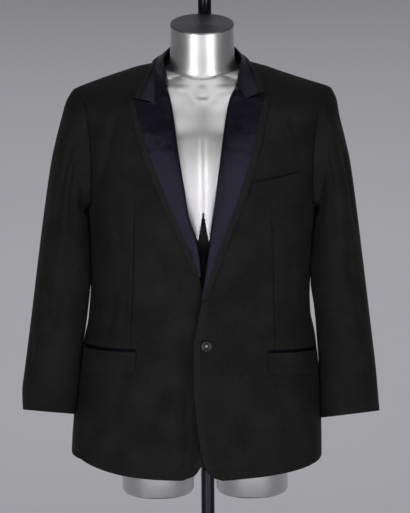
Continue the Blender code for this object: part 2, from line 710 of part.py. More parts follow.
def lapel_profile(side, width):
    """Across and lift of the lapel's middle line, from inside the roll to the outer edge."""
    start = ROLL_FOLD[-1].across
    rest = [
        Roll(gorge_corner(side, width), LEAF_MIDDLE_LIFT + 0.0004),
        Roll(mix(start, width, 0.62), mix(LEAF_MIDDLE_LIFT, LEAF_EDGE_LIFT, 0.45)),
        Roll(width, LEAF_EDGE_LIFT),
    ]
    return [(k, *roll) for k, roll in enumerate(ROLL_FOLD + tuple(rest))]


def lapel_point(side):
    """The middle of a lapel: u from inside the roll to the outer edge, v from the top down."""

    def point(u, v):
        row = lapel_row(side, v)
        width = Vector((row.edge_x - row.roll_x, row.edge_z - row.roll_z)).length
        profile = lapel_profile(side, width)
        place = u * (len(profile) - 1)
        return lapel_place(side, v, steady(profile, place, 1), steady(profile, place, 2))

    return point


def lapel_border_point(side):
    """The outer strip of a lapel's middle surface."""

    def point(u, v):
        row = lapel_row(side, v)
        width = Vector((row.edge_x - row.roll_x, row.edge_z - row.roll_z)).length
        across = mix(max(width - BORDER, width * 0.45), width, u)
        profile = lapel_profile(side, width)
        first = len(ROLL_FOLD) - 1
        lifts = [(roll[1], roll[2]) for roll in profile[first:]]
        return lapel_place(side, v, across, steady(lifts, across))

    return point


def collar_end_section(side):
    """The collar's section at its front end, which follows the lapel's upper edge."""
    end = COLLAR_END_UPPER if side > 0 else COLLAR_END_UNDER
    gap = Vector((0, -0.0006, 0.0026))
    points = [lapel_place(side, 0.0, roll.across, roll.lift) + gap for roll in COLLAR_FOLD]
    row = lapel_row(side, 0.0)
    width = Vector((row.edge_x - row.roll_x, row.edge_z - row.roll_z)).length
    corner = lapel_place(side, 0.0, gorge_corner(side, width), LEAF_MIDDLE_LIFT + 0.0004) + gap
    tip = skin(end[0], end[1], -1, LEAF_EDGE_LIFT + 0.0012)
    return points + [corner, corner.lerp(tip, 0.5), tip]


def collar_section(side, station):
    """The collar's section at a station: stand, fold and leaf."""
    fold, base, edge = (Vector((side * p[0], p[1], p[2])) for p in station[:3])
    edge.x -= side * COLLAR_NARROW[side] * station.narrowed
    out = Vector((edge.x - fold.x, edge.y - fold.y, 0)).normalized()
    down = Vector((0, 0, -1))
    inner = fold - out * 0.0028 + down * 0.0030
    outer = fold + out * 0.0030 + down * 0.0026
    crown = Vector((0, 0, 0.0004))
    return [
        base,
        base.lerp(inner, 0.5),
        inner,
        fold,
        outer,
        outer.lerp(edge, 0.36) + crown,
        outer.lerp(edge, 0.70) + crown,
        edge,
    ]


def collar_sections():
    left = [collar_end_section(-1)] + [collar_section(-1, row) for row in COLLAR]
    right = [collar_end_section(1)] + [collar_section(1, row) for row in COLLAR[:-1]]
    return left + right[::-1]


def collar_point():
    """The middle of the collar: u from one front end round the neck, v from stand to edge."""
    sections = collar_sections()

    def smooth(points, place):
        k = min(int(place), len(points) - 2)
        s = place - k
        before, a = points[max(k - 1, 0)], points[k]
        b, after = points[k + 1], points[min(k + 2, len(points) - 1)]
        slope_a, slope_b = (b - before) / 2, (after - a) / 2
        return (
            a * (1 + 2 * s) * (1 - s) ** 2
            + slope_a * s * (1 - s) ** 2
            + b * s * s * (3 - 2 * s)
            + slope_b * s * s * (s - 1)
        )

    def point(u, v):
        place = u * (len(sections) - 1)
        k = min(int(place), len(sections) - 2)
        near = range(max(k - 1, 0), min(k + 3, len(sections)))
        crossings = {m: smooth(sections[m], v * 7) for m in near}
        line = [crossings.get(m, Vector()) for m in range(len(sections))]
        return smooth(line, place)

    return point


def collar_border_point():
    """The strip along the collar's outer edge."""
    whole = collar_point()

    def point(u, v):
        steps = [whole(u, k / 7) for k in range(4, 8)]
        length = sum((b - a).length for a, b in zip(steps, steps[1:]))
        start = 1 - 3 / 7 * BORDER / length
        return whole(u, mix(start, 1.0, v))

    return point


# What lies on the panels


def front_edge_border(side):
    """The strip down a front's free edge, round the start of its lower corner."""
    edge = UPPER_EDGE if side > 0 else UNDER_EDGE
    top = 1.0195 if side > 0 else 0.9600
    bottom = 0.6960 if side > 0 else 0.6985

    def edge_at(v):
        z = mix(bottom, top, v)
        return Vector((steady(edge, z), z))

    def point(u, v):
        here = edge_at(v)
        along = (edge_at(min(v + 0.02, 1)) - edge_at(max(v - 0.02, 0))).normalized()
        inward = Vector((along.y, -along.x))
        place = here + inward * mix(0.0006, BORDER, u)
        lift = overlap_lift(place.x, place.y) if side > 0 else 0.0
        return skin(side * place.x, place.y, -1, lift)

    return point


Flap = namedtuple("Flap", "front_x front_z back_x back_z drop")
FLAP_LENGTH, FLAP_CORNER = 0.12, 0.010  # along the pocket mouth, and the round of its lower corners
FLAP_UNDER = Flap(-0.1269, 0.9209, -0.2195, 0.9080, 0.0430)
FLAP_UPPER = Flap(0.1185, 0.9164, 0.2035, 0.9010, 0.0410)


def pocket_point(flap, above, below, corner=0.0):
    """A band along a pocket mouth: u towards the side, v from its top edge down."""
    side = 1 if flap.front_x > 0 else -1

    def point(u, v):
        z_line = mix(flap.front_z, flap.back_z, u)
        z = mix(z_line + above, z_line - below, v)
        size = girth(z_line)
        ends = [side * (x - size.shift) / size.half for x in (flap.front_x, flap.back_x)]
        first, last = (angle_of(min(share, 0.9999), z_line, -1) for share in ends)
        short = max(v * (above + below) - (above + below - corner), 0.0)
        inset = corner - math.sqrt(max(corner**2 - short**2, 0.0)) if corner else 0.0
        share = inset / FLAP_LENGTH
        return flank(side, mix(first, last, mix(share, 1 - share, u)), z)

    return point


Welt = namedtuple("Welt", "inner_x inner_z outer_x outer_z")
WELT = Welt(0.0910, 1.2430, 0.1731, 1.2535)
WELT_SLANT = 0.0060


def welt_point(u, v):
    """The breast welt: u outwards, v from its top edge down."""
    x = mix(WELT.inner_x, WELT.outer_x, u) - WELT_SLANT * v * (1 - u)
    z = mix(WELT.inner_z, WELT.outer_z, u) - WELT_DEPTH * v
    return skin(x, z, -1, overlap_lift(x, z))


def turned(name, profile, centre, axis, sides, material):
    """A solid of revolution from (radius, height) pairs, closed on its axis at both ends."""
    mesh = bmesh.new()
    turn = Vector((0, 0, 1)).rotation_difference(axis).to_matrix()
    rings = []
    for radius, height in profile:
        if radius == 0:
            rings.append([mesh.verts.new(centre + turn @ Vector((0, 0, height)))])
            continue
        ring = []
        for k in range(sides):
            angle = 2 * math.pi * k / sides
            place = Vector((radius * math.cos(angle), radius * math.sin(angle), height))
            ring.append(mesh.verts.new(centre + turn @ place))
        rings.append(ring)
    for a, b in zip(rings, rings[1:]):
        for k in range(sides):
            n = (k + 1) % sides
            corners = [a[k % len(a)], a[n % len(a)], b[n % len(b)], b[k % len(b)]]
            mesh.faces.new(list(dict.fromkeys(corners)))
    return finish(name, mesh, material)


def tube_ring(name, inner, outer, low, high, centre, axis, sides, material):
    """A flat ring of rectangular section."""
    mesh = bmesh.new()
    turn = Vector((0, 0, 1)).rotation_difference(axis).to_matrix()
    loops = []
    for radius, height in ((inner, low), (outer, low), (outer, high), (inner, high)):
        ring = []
        for k in range(sides):
            angle = 2 * math.pi * k / sides
            place = Vector((radius * math.cos(angle), radius * math.sin(angle), height))
            ring.append(mesh.verts.new(centre + turn @ place))
        loops.append(ring)
    for a, b in zip(loops, loops[1:] + loops[:1]):
        for k in range(sides):
            n = (k + 1) % sides
            mesh.faces.new((a[k], a[n], b[n], b[k]))
    return finish(name, mesh, material)


# Form and stand


def stacked(name, rings, material):
    """A closed loft through rings of equal count."""
    mesh = bmesh.new()
    loops = [[mesh.verts.new(p) for p in ring] for ring in rings]
    for a, b in zip(loops, loops[1:]):
        for k in range(len(a)):
            n = (k + 1) % len(a)
            mesh.faces.new((a[k], a[n], b[n], b[k]))
    mesh.faces.new(loops[0][::-1])
    mesh.faces.new(loops[-1])
    return finish(name, mesh, material)


def torso_ring(level, tilt=0.0):
    points = []
    power = 2 / level.squareness
    for k in range(TORSO_SIDES):
        turn = 2 * math.pi * (k + 0.5) / TORSO_SIDES
        c, s = math.cos(turn), math.sin(turn)
        x = level.half * math.copysign(abs(c) ** power, c)
        reach = level.front if s < 0 else level.back
        y = reach * math.copysign(abs(s) ** power, s)
        points.append(Vector((x, y, level.height + y * math.tan(tilt))))
    return points


def torso(material, cutter_material):
    rings = [torso_ring(level) for level in TORSO]
    neck = Level(NECK_TOP - CAP_THICK - TOUCH, NECK_RADIUS, NECK_RADIUS, NECK_RADIUS, 2.0)
    rings.append(torso_ring(neck, CAP_TILT))
    body = stacked("torso_form", rings, material)
    for side, name in ((-1, "stump_right"), (1, "stump_left")):
        loops = []
        for z, inset in (
            (STUMP_BOTTOM, STUMP_ROUND),
            (STUMP_BOTTOM + STUMP_ROUND, 0.0),
            (STUMP_TOP, 0.0),
        ):
            level = Level(z, STUMP_HALF - inset, STUMP_DEPTH - inset, STUMP_DEPTH - inset, 2.25)
            ring = torso_ring(level)
            loops.append([p + Vector((side * STUMP_X, STUMP_Y, 0)) for p in ring])
        stump = stacked(name, loops, cutter_material)
        hide(stump)
        boolean(body, stump, "UNION")
    bore_axis = Vector((POLE_X, POLE_Y, 0))
    profile = ((0, 0.50), (BORE_RADIUS, 0.50), (BORE_RADIUS, 1.65), (0, 1.65))
    bore = turned("bore", profile, bore_axis, Vector((0, 0, 1)), 24, cutter_material)
    hide(bore)
    boolean(body, bore, "DIFFERENCE")
    return body


def hide(helper):
    helper.hide_render = True
    helper.display_type = "WIRE"


def boolean(target, other, operation):
    modifier = target.modifiers.new(other.name, "BOOLEAN")
    modifier.operation = operation
    modifier.object = other


def neck_cap(material):
    """The flat disc on the neck, tilted forwards with it."""
    level = Level(NECK_TOP - CAP_THICK, NECK_RADIUS, NECK_RADIUS, NECK_RADIUS, 2.0)
    low = torso_ring(level, CAP_TILT)
    lift = Vector((0, 0, CAP_THICK))
    high = [p + lift for p in low]
    return stacked("neck_cap", [low, high], material)


def base_plate(material):
    """A square plate with round corners."""
    corner, half, points = BASE_CORNER, BASE_SIDE / 2, []
    for quarter in range(4):
        for k in range(7):
            turn = math.pi / 2 * (quarter + k / 6)
            x = math.copysign(half - corner, math.cos(math.pi / 2 * (quarter + 0.5)))
            y = math.copysign(half - corner, math.sin(math.pi / 2 * (quarter + 0.5)))
            points.append(Vector((x + corner * math.cos(turn), y + corner * math.sin(turn), 0)))
    bevel = 0.0012
    inner = [p * (1 - bevel / half) for p in points]
    rings = [points, [p + Vector((0, 0, BASE_THICK - bevel)) for p in points]]
    rings.append([p + Vector((0, 0, BASE_THICK)) for p in inner])
    return stacked("base_plate", rings, material)


def stand(steel, dark):
    up, axis = Vector((0, 0, 1)), Vector((POLE_X, POLE_Y, 0))
    base_plate(steel)
    foot = BASE_THICK + TOUCH
    inner = POLE_RADIUS + TOUCH
    tube_ring("base_flange", inner, FLANGE_RADIUS, foot, foot + FLANGE_HEIGHT, axis, up, 32, steel)
    pole = ((0, foot), (POLE_RADIUS, foot), (POLE_RADIUS, POLE_TOP), (0, POLE_TOP))
    turned("pole", pole, axis, up, 24, steel)
    seat = TORSO[0].height - TOUCH
    tube_ring("pole_clamp", inner, CLAMP_RADIUS, seat - CLAMP_HEIGHT, seat, axis, up, 28, steel)
    top = POLE_TOP + TOUCH
    cap = ((0, top), (POLE_RADIUS, top), (POLE_RADIUS, top + 0.005), (0.009, top + 0.009), (0, top + 0.010))
    turned("pole_cap", cap, axis, up, 24, dark)


def button(plastic, metal):
    """A dished button on a short thread shank, with a metal ring and a small centre boss."""
    cloth = skin(BUTTON_X, BUTTON_Z, -1, overlap_lift(BUTTON_X, BUTTON_Z))
    out = (skin(BUTTON_X, BUTTON_Z, -1, 0.01) - skin(BUTTON_X, BUTTON_Z, -1)).normalized()
    seat = LAY_GAP
    back, front = seat + SHANK_LENGTH, seat + SHANK_LENGTH + BUTTON_THICK
    groove = front - RING_HEIGHT
    profile = (
        (0, seat),
        (SHANK_RADIUS, seat),
        (SHANK_RADIUS, back),
        (BUTTON_RADIUS - 0.0012, back),
        (BUTTON_RADIUS, back + 0.0014),
        (BUTTON_RADIUS, front - 0.0010),
        (RING_RADIUS + RING_WIDTH / 2 + TOUCH, front),
        (RING_RADIUS + RING_WIDTH / 2 + TOUCH, groove - TOUCH),
        (RING_RADIUS - RING_WIDTH / 2 - TOUCH, groove - TOUCH),
        (RING_RADIUS - RING_WIDTH / 2 - TOUCH, front - 0.0006),
        (0.0040, front - 0.0012),
        (0, front - 0.0013),
    )
    turned("button", profile, cloth, out, 28, plastic)
    inner, outer = RING_RADIUS - RING_WIDTH / 2, RING_RADIUS + RING_WIDTH / 2
    tube_ring("button_ring", inner, outer, groove, front, cloth, out, 28, metal)
    low = front - 0.0013 + TOUCH
    boss = ((0, low), (0.0019, low), (0.0019, low + 0.0005), (0.0010, low + 0.0011), (0, low + 0.0012))
    turned("button_boss", boss, cloth, out, 16, metal)


def remove_old_objects():
    for old in list(bpy.data.objects):
        bpy.data.objects.remove(old, do_unlink=True)


def main():
    remove_old_objects()
    wool = paint("matte wool", (0.012, 0.012, 0.013), 0.95)
    satin = paint("midnight satin", (0.010, 0.009, 0.022), 0.35)
    ribbon = paint("grosgrain ribbon", (0.013, 0.013, 0.015), 0.80)
    silver = paint("brushed silver form", (0.72, 0.72, 0.73), 0.30, 1.0)
    chrome = paint("chromed steel", (0.60, 0.60, 0.62), 0.10, 1.0)
    grey = paint("grey cap", (0.18, 0.18, 0.18), 0.50)
    plastic = paint("black button", (0.015, 0.015, 0.017), 0.25)

    for side, hand in ((1, "left"), (-1, "right")):
        out = -side
        wall(f"front_{hand}", front_point(side), FRONT_COLUMNS, FRONT_ROWS, CLOTH, -out, wool)
        wall(f"back_{hand}", back_point(side), BACK_COLUMNS, BACK_ROWS, CLOTH, out, wool)
        wall(f"side_{hand}", side_point(side), even(7), even(12), CLOTH, -out, wool)
        sleeve = sleeve_point(side)
        gap = SLEEVE_SEAM_SHARE
        top_part = arc_of(sleeve, gap - BACK_SHARE, FRONT_SHARE - gap)
        under_part = arc_of(sleeve, FRONT_SHARE + gap, 1 - BACK_SHARE - gap)
        wall(f"sleeve_top_{hand}", top_part, even(19), SLEEVE_ROWS, CLOTH, side, wool)
        wall(f"sleeve_under_{hand}", under_part, even(10), SLEEVE_ROWS, CLOTH, side, wool)
        lapel = lifted(lapel_point(side), SATIN / 2, out)
        wall(f"lapel_{hand}", lapel, even(9), LAPEL_ROWS, SATIN, out, satin)
        lift = SATIN / 2 + RIBBON_GAP + RIBBON
        strip = lifted(lapel_border_point(side), lift, out)
        wall(f"lapel_ribbon_{hand}", strip, even(3), LAPEL_ROWS, RIBBON, out, ribbon)
        edge = lifted(front_edge_border(side), LAY_GAP + RIBBON, side)
        wall(f"front_ribbon_{hand}", edge, even(3), even(14), RIBBON, side, ribbon)
        flap = FLAP_UPPER if side > 0 else FLAP_UNDER
        flap_face = lifted(pocket_point(flap, 0.0, flap.drop, FLAP_CORNER), FLAP_GAP + CLOTH, out)
        wall(f"flap_{hand}", flap_face, even(8), FLAP_ROWS, CLOTH, out, wool)
        jet = lifted(pocket_point(flap, JET_HEIGHT + SEAM_GAP, -SEAM_GAP), LAY_GAP + RIBBON, out)
        wall(f"pocket_jet_{hand}", jet, even(8), even(3), RIBBON, out, satin)

    around = [k / 28 for k in range(29)]
    collar = lifted(collar_point(), SATIN / 2, 1)
    wall("collar", collar, around, COLLAR_ROWS, SATIN, 1, satin)
    border = lifted(collar_border_point(), SATIN / 2 + LAY_GAP + RIBBON, 1)
    wall("collar_ribbon", border, around, even(3), RIBBON, 1, ribbon)
    welt = lifted(welt_point, LAY_GAP + CLOTH, -1)
    wall("breast_welt", welt, even(6), even(3), CLOTH, -1, wool)
    button(plastic, chrome)
    torso(silver, grey)
    neck_cap(grey)
    stand(chrome, grey)


main()
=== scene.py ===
"""A one-button dinner jacket with peaked satin lapels, dressed on a limbless silver form.

The jacket's cloth pieces are thin shells on the body surface that its solids have, with the
creases, darts and pressed edges that pressed wool shows. The form, its cap and its stand are
smooth turned and lofted shells. Axes: +Z up, the jacket faces -Y, +X is the wearer's left.
Lengths are in metres.
"""

import json
import logging
import math
from dataclasses import dataclass, field
from enum import Enum

import bpy
import numpy as np
from mathutils import Matrix, Vector

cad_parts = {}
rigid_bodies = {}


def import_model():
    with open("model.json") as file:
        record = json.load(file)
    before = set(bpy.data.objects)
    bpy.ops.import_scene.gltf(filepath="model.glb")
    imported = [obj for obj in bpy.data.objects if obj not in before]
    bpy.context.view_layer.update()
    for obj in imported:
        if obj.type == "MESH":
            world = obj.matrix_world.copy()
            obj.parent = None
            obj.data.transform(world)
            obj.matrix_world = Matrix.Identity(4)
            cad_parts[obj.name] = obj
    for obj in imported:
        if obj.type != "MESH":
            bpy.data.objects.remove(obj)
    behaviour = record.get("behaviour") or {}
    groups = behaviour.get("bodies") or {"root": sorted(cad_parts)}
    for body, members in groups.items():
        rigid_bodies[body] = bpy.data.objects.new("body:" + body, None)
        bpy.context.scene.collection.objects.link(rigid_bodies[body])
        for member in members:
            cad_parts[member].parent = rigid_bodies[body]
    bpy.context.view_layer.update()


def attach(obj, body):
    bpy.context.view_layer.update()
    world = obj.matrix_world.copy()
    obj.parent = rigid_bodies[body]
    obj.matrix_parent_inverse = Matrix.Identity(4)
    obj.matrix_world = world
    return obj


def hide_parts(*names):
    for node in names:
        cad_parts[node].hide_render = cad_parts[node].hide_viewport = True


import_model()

LOG = logging.getLogger("dinner_jacket")
Array = np.ndarray
Value = Array | float
Pair = tuple[float, float]
Triple = tuple[float, float, float]
Material = bpy.types.Material
Piece = bpy.types.Object


class Side(Enum):
    """The wearer's side that a piece is on, as the sign of its X."""

    LEFT = 1
    RIGHT = -1

    @property
    def hand(self) -> str:
        """The side's word in a piece's name."""
        return self.name.lower()


def table(rows: dict) -> dict:
    """A dataclass field that starts as this table."""
    return field(default_factory=lambda: rows)


# Numbers and curves

SEAM = (0.0022, 0.0007)  # how far in from a sewn or turned edge the cloth is pressed, and how deep
RIM = 0.3  # how far a cut edge bulges, as a share of the cloth's thickness


def mix(start: Value, end: Value, share: Value) -> Value:
    """The value this share of the way from start to end."""
    return start + (end - start) * share


def ramp(value: Value, start: float, end: float) -> Array:
    """0 at start and 1 at end, eased at both."""
    s = np.clip((value - start) / (end - start), 0.0, 1.0)
    return s * s * (3 - 2 * s)


def dense(count: int, pull: float = 0.8) -> Array:
    """Shares from 0 to 1 that lie closer together at both ends."""
    s = np.linspace(0, 1, count)
    return s - pull * np.sin(2 * np.pi * s) / (2 * np.pi)


class Curve:
    """A smooth curve through a table's rows that never overshoots them."""

    def __init__(self, rows: tuple) -> None:
        """Finds the slope at each row.

        Args:
            rows: keys in rising order, each followed by its columns.
        """
        table = np.array([tuple(row) for row in rows], float)
        self.keys, self.values = table[:, 0], table[:, 1:]
        self.gaps = np.diff(self.keys)
        slopes = np.diff(self.values, axis=0) / self.gaps[:, None]
        before, after = slopes[:-1], slopes[1:]
        product, total = before * after, before + after
        total = np.where(np.abs(total) < 1e-12, 1.0, total)
        inner = np.where(product > 0, 2 * product / total, 0.0)
        self.tangents = np.concatenate([slopes[:1], inner, slopes[-1:]])

    def at(self, where: Value, column: int = 0) -> Array:
        """The column's value at each key.

        Args:
            where: keys, held inside the table's range.
            column: which column after the key.

        Returns:
            Values in the shape of where.
        """
        where = np.clip(np.asarray(where, float), self.keys[0], self.keys[-1])
        k = np.clip(np.searchsorted(self.keys, where, side="right") - 1, 0, len(self.keys) - 2)
        gap = self.gaps[k]
        s = (where - self.keys[k]) / gap
        value, slope = self.values[:, column], self.tangents[:, column]
        return (
            (1 + 2 * s) * (1 - s) ** 2 * value[k]
            + s * (1 - s) ** 2 * gap * slope[k]
            + s * s * (3 - 2 * s) * value[k + 1]
            + s * s * (s - 1) * gap * slope[k + 1]
        )


def through(points: Array, places: Array) -> Array:
    """Points on the smooth line through rows of points.

    Args:
        points: an array whose first axis is the row.
        places: row numbers, whole or not.

    Returns:
        One point or row of points for each place.
    """
    last = len(points) - 1
    k = np.clip(places.astype(int), 0, last - 1)
    s = (places - k).reshape((-1,) + (1,) * (points.ndim - 1))
    near = (np.maximum(k - 1, 0), k, k + 1, np.minimum(k + 2, last))
    before, a, b, after = (points[rows] for rows in near)
    return (
        a * (1 + 2 * s) * (1 - s) ** 2
        + (b - before) / 2 * s * (1 - s) ** 2
        + b * s * s * (3 - 2 * s)
        + (after - a) / 2 * s * s * (s - 1)
    )


def distances(line: Array) -> Array:
    """How far along a line each of its points lies."""
    return np.concatenate([[0], np.cumsum(np.linalg.norm(np.diff(line, axis=0), axis=1))])


def read(line: Array, along: Array, where: Value) -> Array:
    """Points of a line at these places, given how far along each of its own points lies."""
    return np.stack([np.interp(where, along, line[:, k]) for k in range(3)], axis=-1)


def around(loop: Array, shares: Array) -> Array:
    """Points round a closed loop, at an even pace.

    Args:
        loop: the loop's points, without the first one again at the end.
        shares: shares of the way round, where whole turns don't count.

    Returns:
        One point for each share.
    """
    closed = np.concatenate([loop, loop[:1]])
    along = distances(closed)
    return read(closed, along, (shares % 1.0) * along[-1])


# Shells


@dataclass
class Patch:
    """A grid of surface points, with the sign that points its normals outwards."""

    points: Array
    out: int

    def normals(self) -> Array:
        """The way that the surface faces.

        Returns:
            A unit vector for each point.
        """
        along = np.gradient(self.points, axis=1)
        up = np.gradient(self.points, axis=0)
        normal = np.cross(along, up) * self.out
        return normal / np.maximum(np.linalg.norm(normal, axis=-1, keepdims=True), 1e-12)

    def raised(self, lift: Value) -> "Patch":
        """The patch moved out along its normals."""
        lift = np.broadcast_to(lift, self.points.shape[:2])[..., None]
        return Patch(self.points + self.normals() * lift, self.out)

    def spans(self) -> tuple[Array, Array]:
        """How far each point lies along its row and up its column.

        Returns:
            Both distances in metres, in the grid's shape.
        """
        along = np.linalg.norm(np.diff(self.points, axis=1), axis=-1)
        up = np.linalg.norm(np.diff(self.points, axis=0), axis=-1)
        across = np.pad(np.cumsum(along, axis=1), ((0, 0), (1, 0)))
        climb = np.pad(np.cumsum(up, axis=0), ((1, 0), (0, 0)))
        return across, climb

    def edged(self, width: float, depth: float, sides: str) -> "Patch":
        """The patch with its border pressed down, as a turned edge or a sewn seam is.

        Args:
            width: how far in from the border the pressing reaches.
            depth: how deep it is at the border.
            sides: any of l, r, b and t: first and last column, first and last row.

        Returns:
            The pressed patch.
        """
        across, climb = self.spans()
        far = {"l": across, "r": across[:, -1:] - across, "b": climb, "t": climb[-1:] - climb}
        far = np.minimum.reduce([far[letter] for letter in sides])
        return self.raised(-depth * np.exp(-((far / width) ** 2)))

    def shell(self, name: str, thick: float, material: Material) -> Piece:
        """A closed cloth shell with the patch as its outer face and a rounded rim.

        Args:
            name: the piece's name.
            thick: the cloth's thickness.
            material: its finish.

        Returns:
            The linked object.
        """
        rows, columns = self.points.shape[:2]
        normals = self.normals()
        inner = self.points - normals * thick
        index = np.arange(rows * columns).reshape(rows, columns)
        a, b, c, d = index[:-1, :-1], index[:-1, 1:], index[1:, 1:], index[1:, :-1]
        outer_faces = np.stack([a, b, c, d], -1).reshape(-1, 4)
        inner_faces = np.stack([a, d, c, b], -1).reshape(-1, 4) + rows * columns
        ring, inside = (
            np.concatenate([first, index[1:, right], index[top, -2::-1], index[-2:0:-1, left]])
            for first, right, top, left in ((index[0, :], -1, -1, 0), (index[1, :], -2, -2, 1))
        )
        flat, flat_inner = self.points.reshape(-1, 3), inner.reshape(-1, 3)
        middle = (flat[ring] + flat_inner[ring]) / 2
        away = flat[ring] - flat[inside]
        away /= np.maximum(np.linalg.norm(away, axis=1, keepdims=True), 1e-9)
        middle += away * thick * RIM
        k = np.arange(len(ring))
        n = (k + 1) % len(ring)
        start, back = 2 * rows * columns, ring + rows * columns
        first = np.stack([ring[k], start + k, start + n, ring[n]], -1)
        second = np.stack([start + k, back[k], back[n], start + n], -1)
        faces = np.concatenate([outer_faces, inner_faces, first, second])
        if self.out < 0:
            faces = faces[:, ::-1]
        points = np.concatenate([flat, flat_inner, middle])
        across, climb = self.spans()
        uv = np.stack([across, climb], -1).reshape(-1, 2)
        return make(name, points, faces, material, np.concatenate([uv, uv, uv[ring]]))


def make(
    name: str, points: Array, faces: Array, material: Material,
    uv: Array | None = None, sharp: float = 48,
) -> Piece:
    """An object from points and four-cornered faces.

    Args:
        name: the piece's name.
        points: its corners.
        faces: rows of corner numbers.
        material: its finish.
        uv: cloth coordinates in metres, one for each corner.
        sharp: edges that bend more than this many degrees stay sharp.

    Returns:
        The linked object.
    """
    mesh = bpy.data.meshes.new(name)
    corners = [tuple(dict.fromkeys(face)) for face in faces.tolist()]
    mesh.from_pydata(points.tolist(), [], [face for face in corners if len(face) > 2])
    mesh.update()
    if uv is not None:
        layer = mesh.uv_layers.new(name="cloth")
        loops = np.zeros(len(mesh.loops), np.int32)
        mesh.loops.foreach_get("vertex_index", loops)
        layer.data.foreach_set("uv", uv[loops].astype(np.float32).ravel())
    mesh.shade_smooth()
    mesh.set_sharp_from_angle(angle=math.radians(sharp))
    mesh.materials.append(material)
    made = bpy.data.objects.new(name, mesh)
    bpy.context.scene.collection.objects.link(made)
    return made


def loft(
    name: str, rings: Array, material: Material, sharp: float = 48, looped: bool = False,
) -> Piece:
    """A closed body through rings of equal count.

    Args:
        name: the piece's name.
        rings: one row of points for each ring.
        material: its finish.
        sharp: edges that bend more than this many degrees stay sharp.
        looped: joins the last ring to the first, in place of a fan over each end.

    Returns:
        The linked object.
    """
    count, sides = rings.shape[:2]
    index = np.arange(count * sides).reshape(count, sides)
    after = np.roll(index, -1, axis=1)
    walls = np.stack([index[:-1], after[:-1], after[1:], index[1:]], -1).reshape(-1, 4)
    points = rings.reshape(-1, 3)
    if looped:
        ends = [np.stack([index[-1], after[-1], after[0], index[0]], -1)]
    else:
        low, high = (np.full(sides, count * sides + k) for k in range(2))
        fans = ([after[0], index[0], low, low], [index[-1], after[-1], high, high])
        ends = [np.stack(fan, -1) for fan in fans]
        points = np.concatenate([points, [rings[0].mean(0)], [rings[-1].mean(0)]])
    return make(name, points, np.concatenate([walls, *ends]), material, sharp=sharp)


def turned(
    name: str, profile: tuple, centre: Vector, axis: Vector, sides: int,
    material: Material, sharp: float = 35, looped: bool = False,
) -> Piece:
    """A turned body.

    Args:
        name: the piece's name.
        profile: pairs of a radius and a height along the axis.
        centre: where the axis starts.
        axis: the way it points.
        sides: how many faces go round.
        material: its finish.
        sharp: edges that bend more than this many degrees stay sharp.
        looped: the profile is the closed section of a ring.

    Returns:
        The linked object.
    """
    turn = np.array(Vector((0, 0, 1)).rotation_difference(axis).to_matrix())
    angle = np.arange(sides) * 2 * np.pi / sides
    rings = [
        np.stack([radius * np.cos(angle), radius * np.sin(angle), np.full(sides, height)], -1)
        for radius, height in profile
    ]
    return loft(name, np.stack(rings) @ turn.T + np.array(centre), material, sharp, looped)


def joined(name: str, pieces: list[Piece]) -> Piece:
    """Makes one object of several that share a material.

    Args:
        name: the joined piece's name.
        pieces: the objects, of which the first one stays.

    Returns:
        The joined object.
    """
    bpy.ops.object.select_all(action="DESELECT")
    for piece in pieces:
        piece.select_set(True)
    bpy.context.view_layer.objects.active = pieces[0]
    bpy.ops.object.join()
    pieces[0].name = name
    return pieces[0]


def seat(piece: Piece, slot: str, *nodes: str) -> Piece:
    """Rides a piece on the part's one body and reports it.

    Args:
        piece: the finished object.
        slot: its material's slot; not used.
        *nodes: the solids that it stands for.

    Returns:
        The piece.
    """
    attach(piece, "root")
    if nodes:
        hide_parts(*nodes)
    LOG.info("%s: %d faces", piece.name, len(piece.data.polygons))
    return piece


# Finishes

Socket = bpy.types.NodeSocket
WAVE = 0.31416  # metres from one wave to the next at a scale of 1


def linear(code: str) -> tuple[float, float, float, float]:
    """The linear colour of an sRGB hex value."""
    parts = [int(code[k:k + 2], 16) / 255 for k in (1, 3, 5)]
    return (*[p / 12.92 if p <= 0.04045 else ((p + 0.055) / 1.055) ** 2.4 for p in parts], 1.0)


def add(
    tree: bpy.types.NodeTree, kind: str, settings: dict | None = None, **links,
) -> bpy.types.Node:
    """A node with its settings and inputs.

    Args:
        tree: the material's node tree.
        kind: the node type's name.
        settings: attributes of the node itself.
        **links: inputs by name, with _ for a space or in<number> for an unnamed one; a socket
            is linked and anything else is set.

    Returns:
        The node.
    """
    node = tree.nodes.new(kind)
    for key, value in (settings or {}).items():
        setattr(node, key, value)
    for key, value in links.items():
        numbered = key[:2] == "in" and key[2:].isdigit()
        socket = node.inputs[int(key[2:]) if numbered else key.replace("_", " ")]
        if isinstance(value, bpy.types.NodeSocket):
            tree.links.new(value, socket)
        else:
            socket.default_value = value
    return node


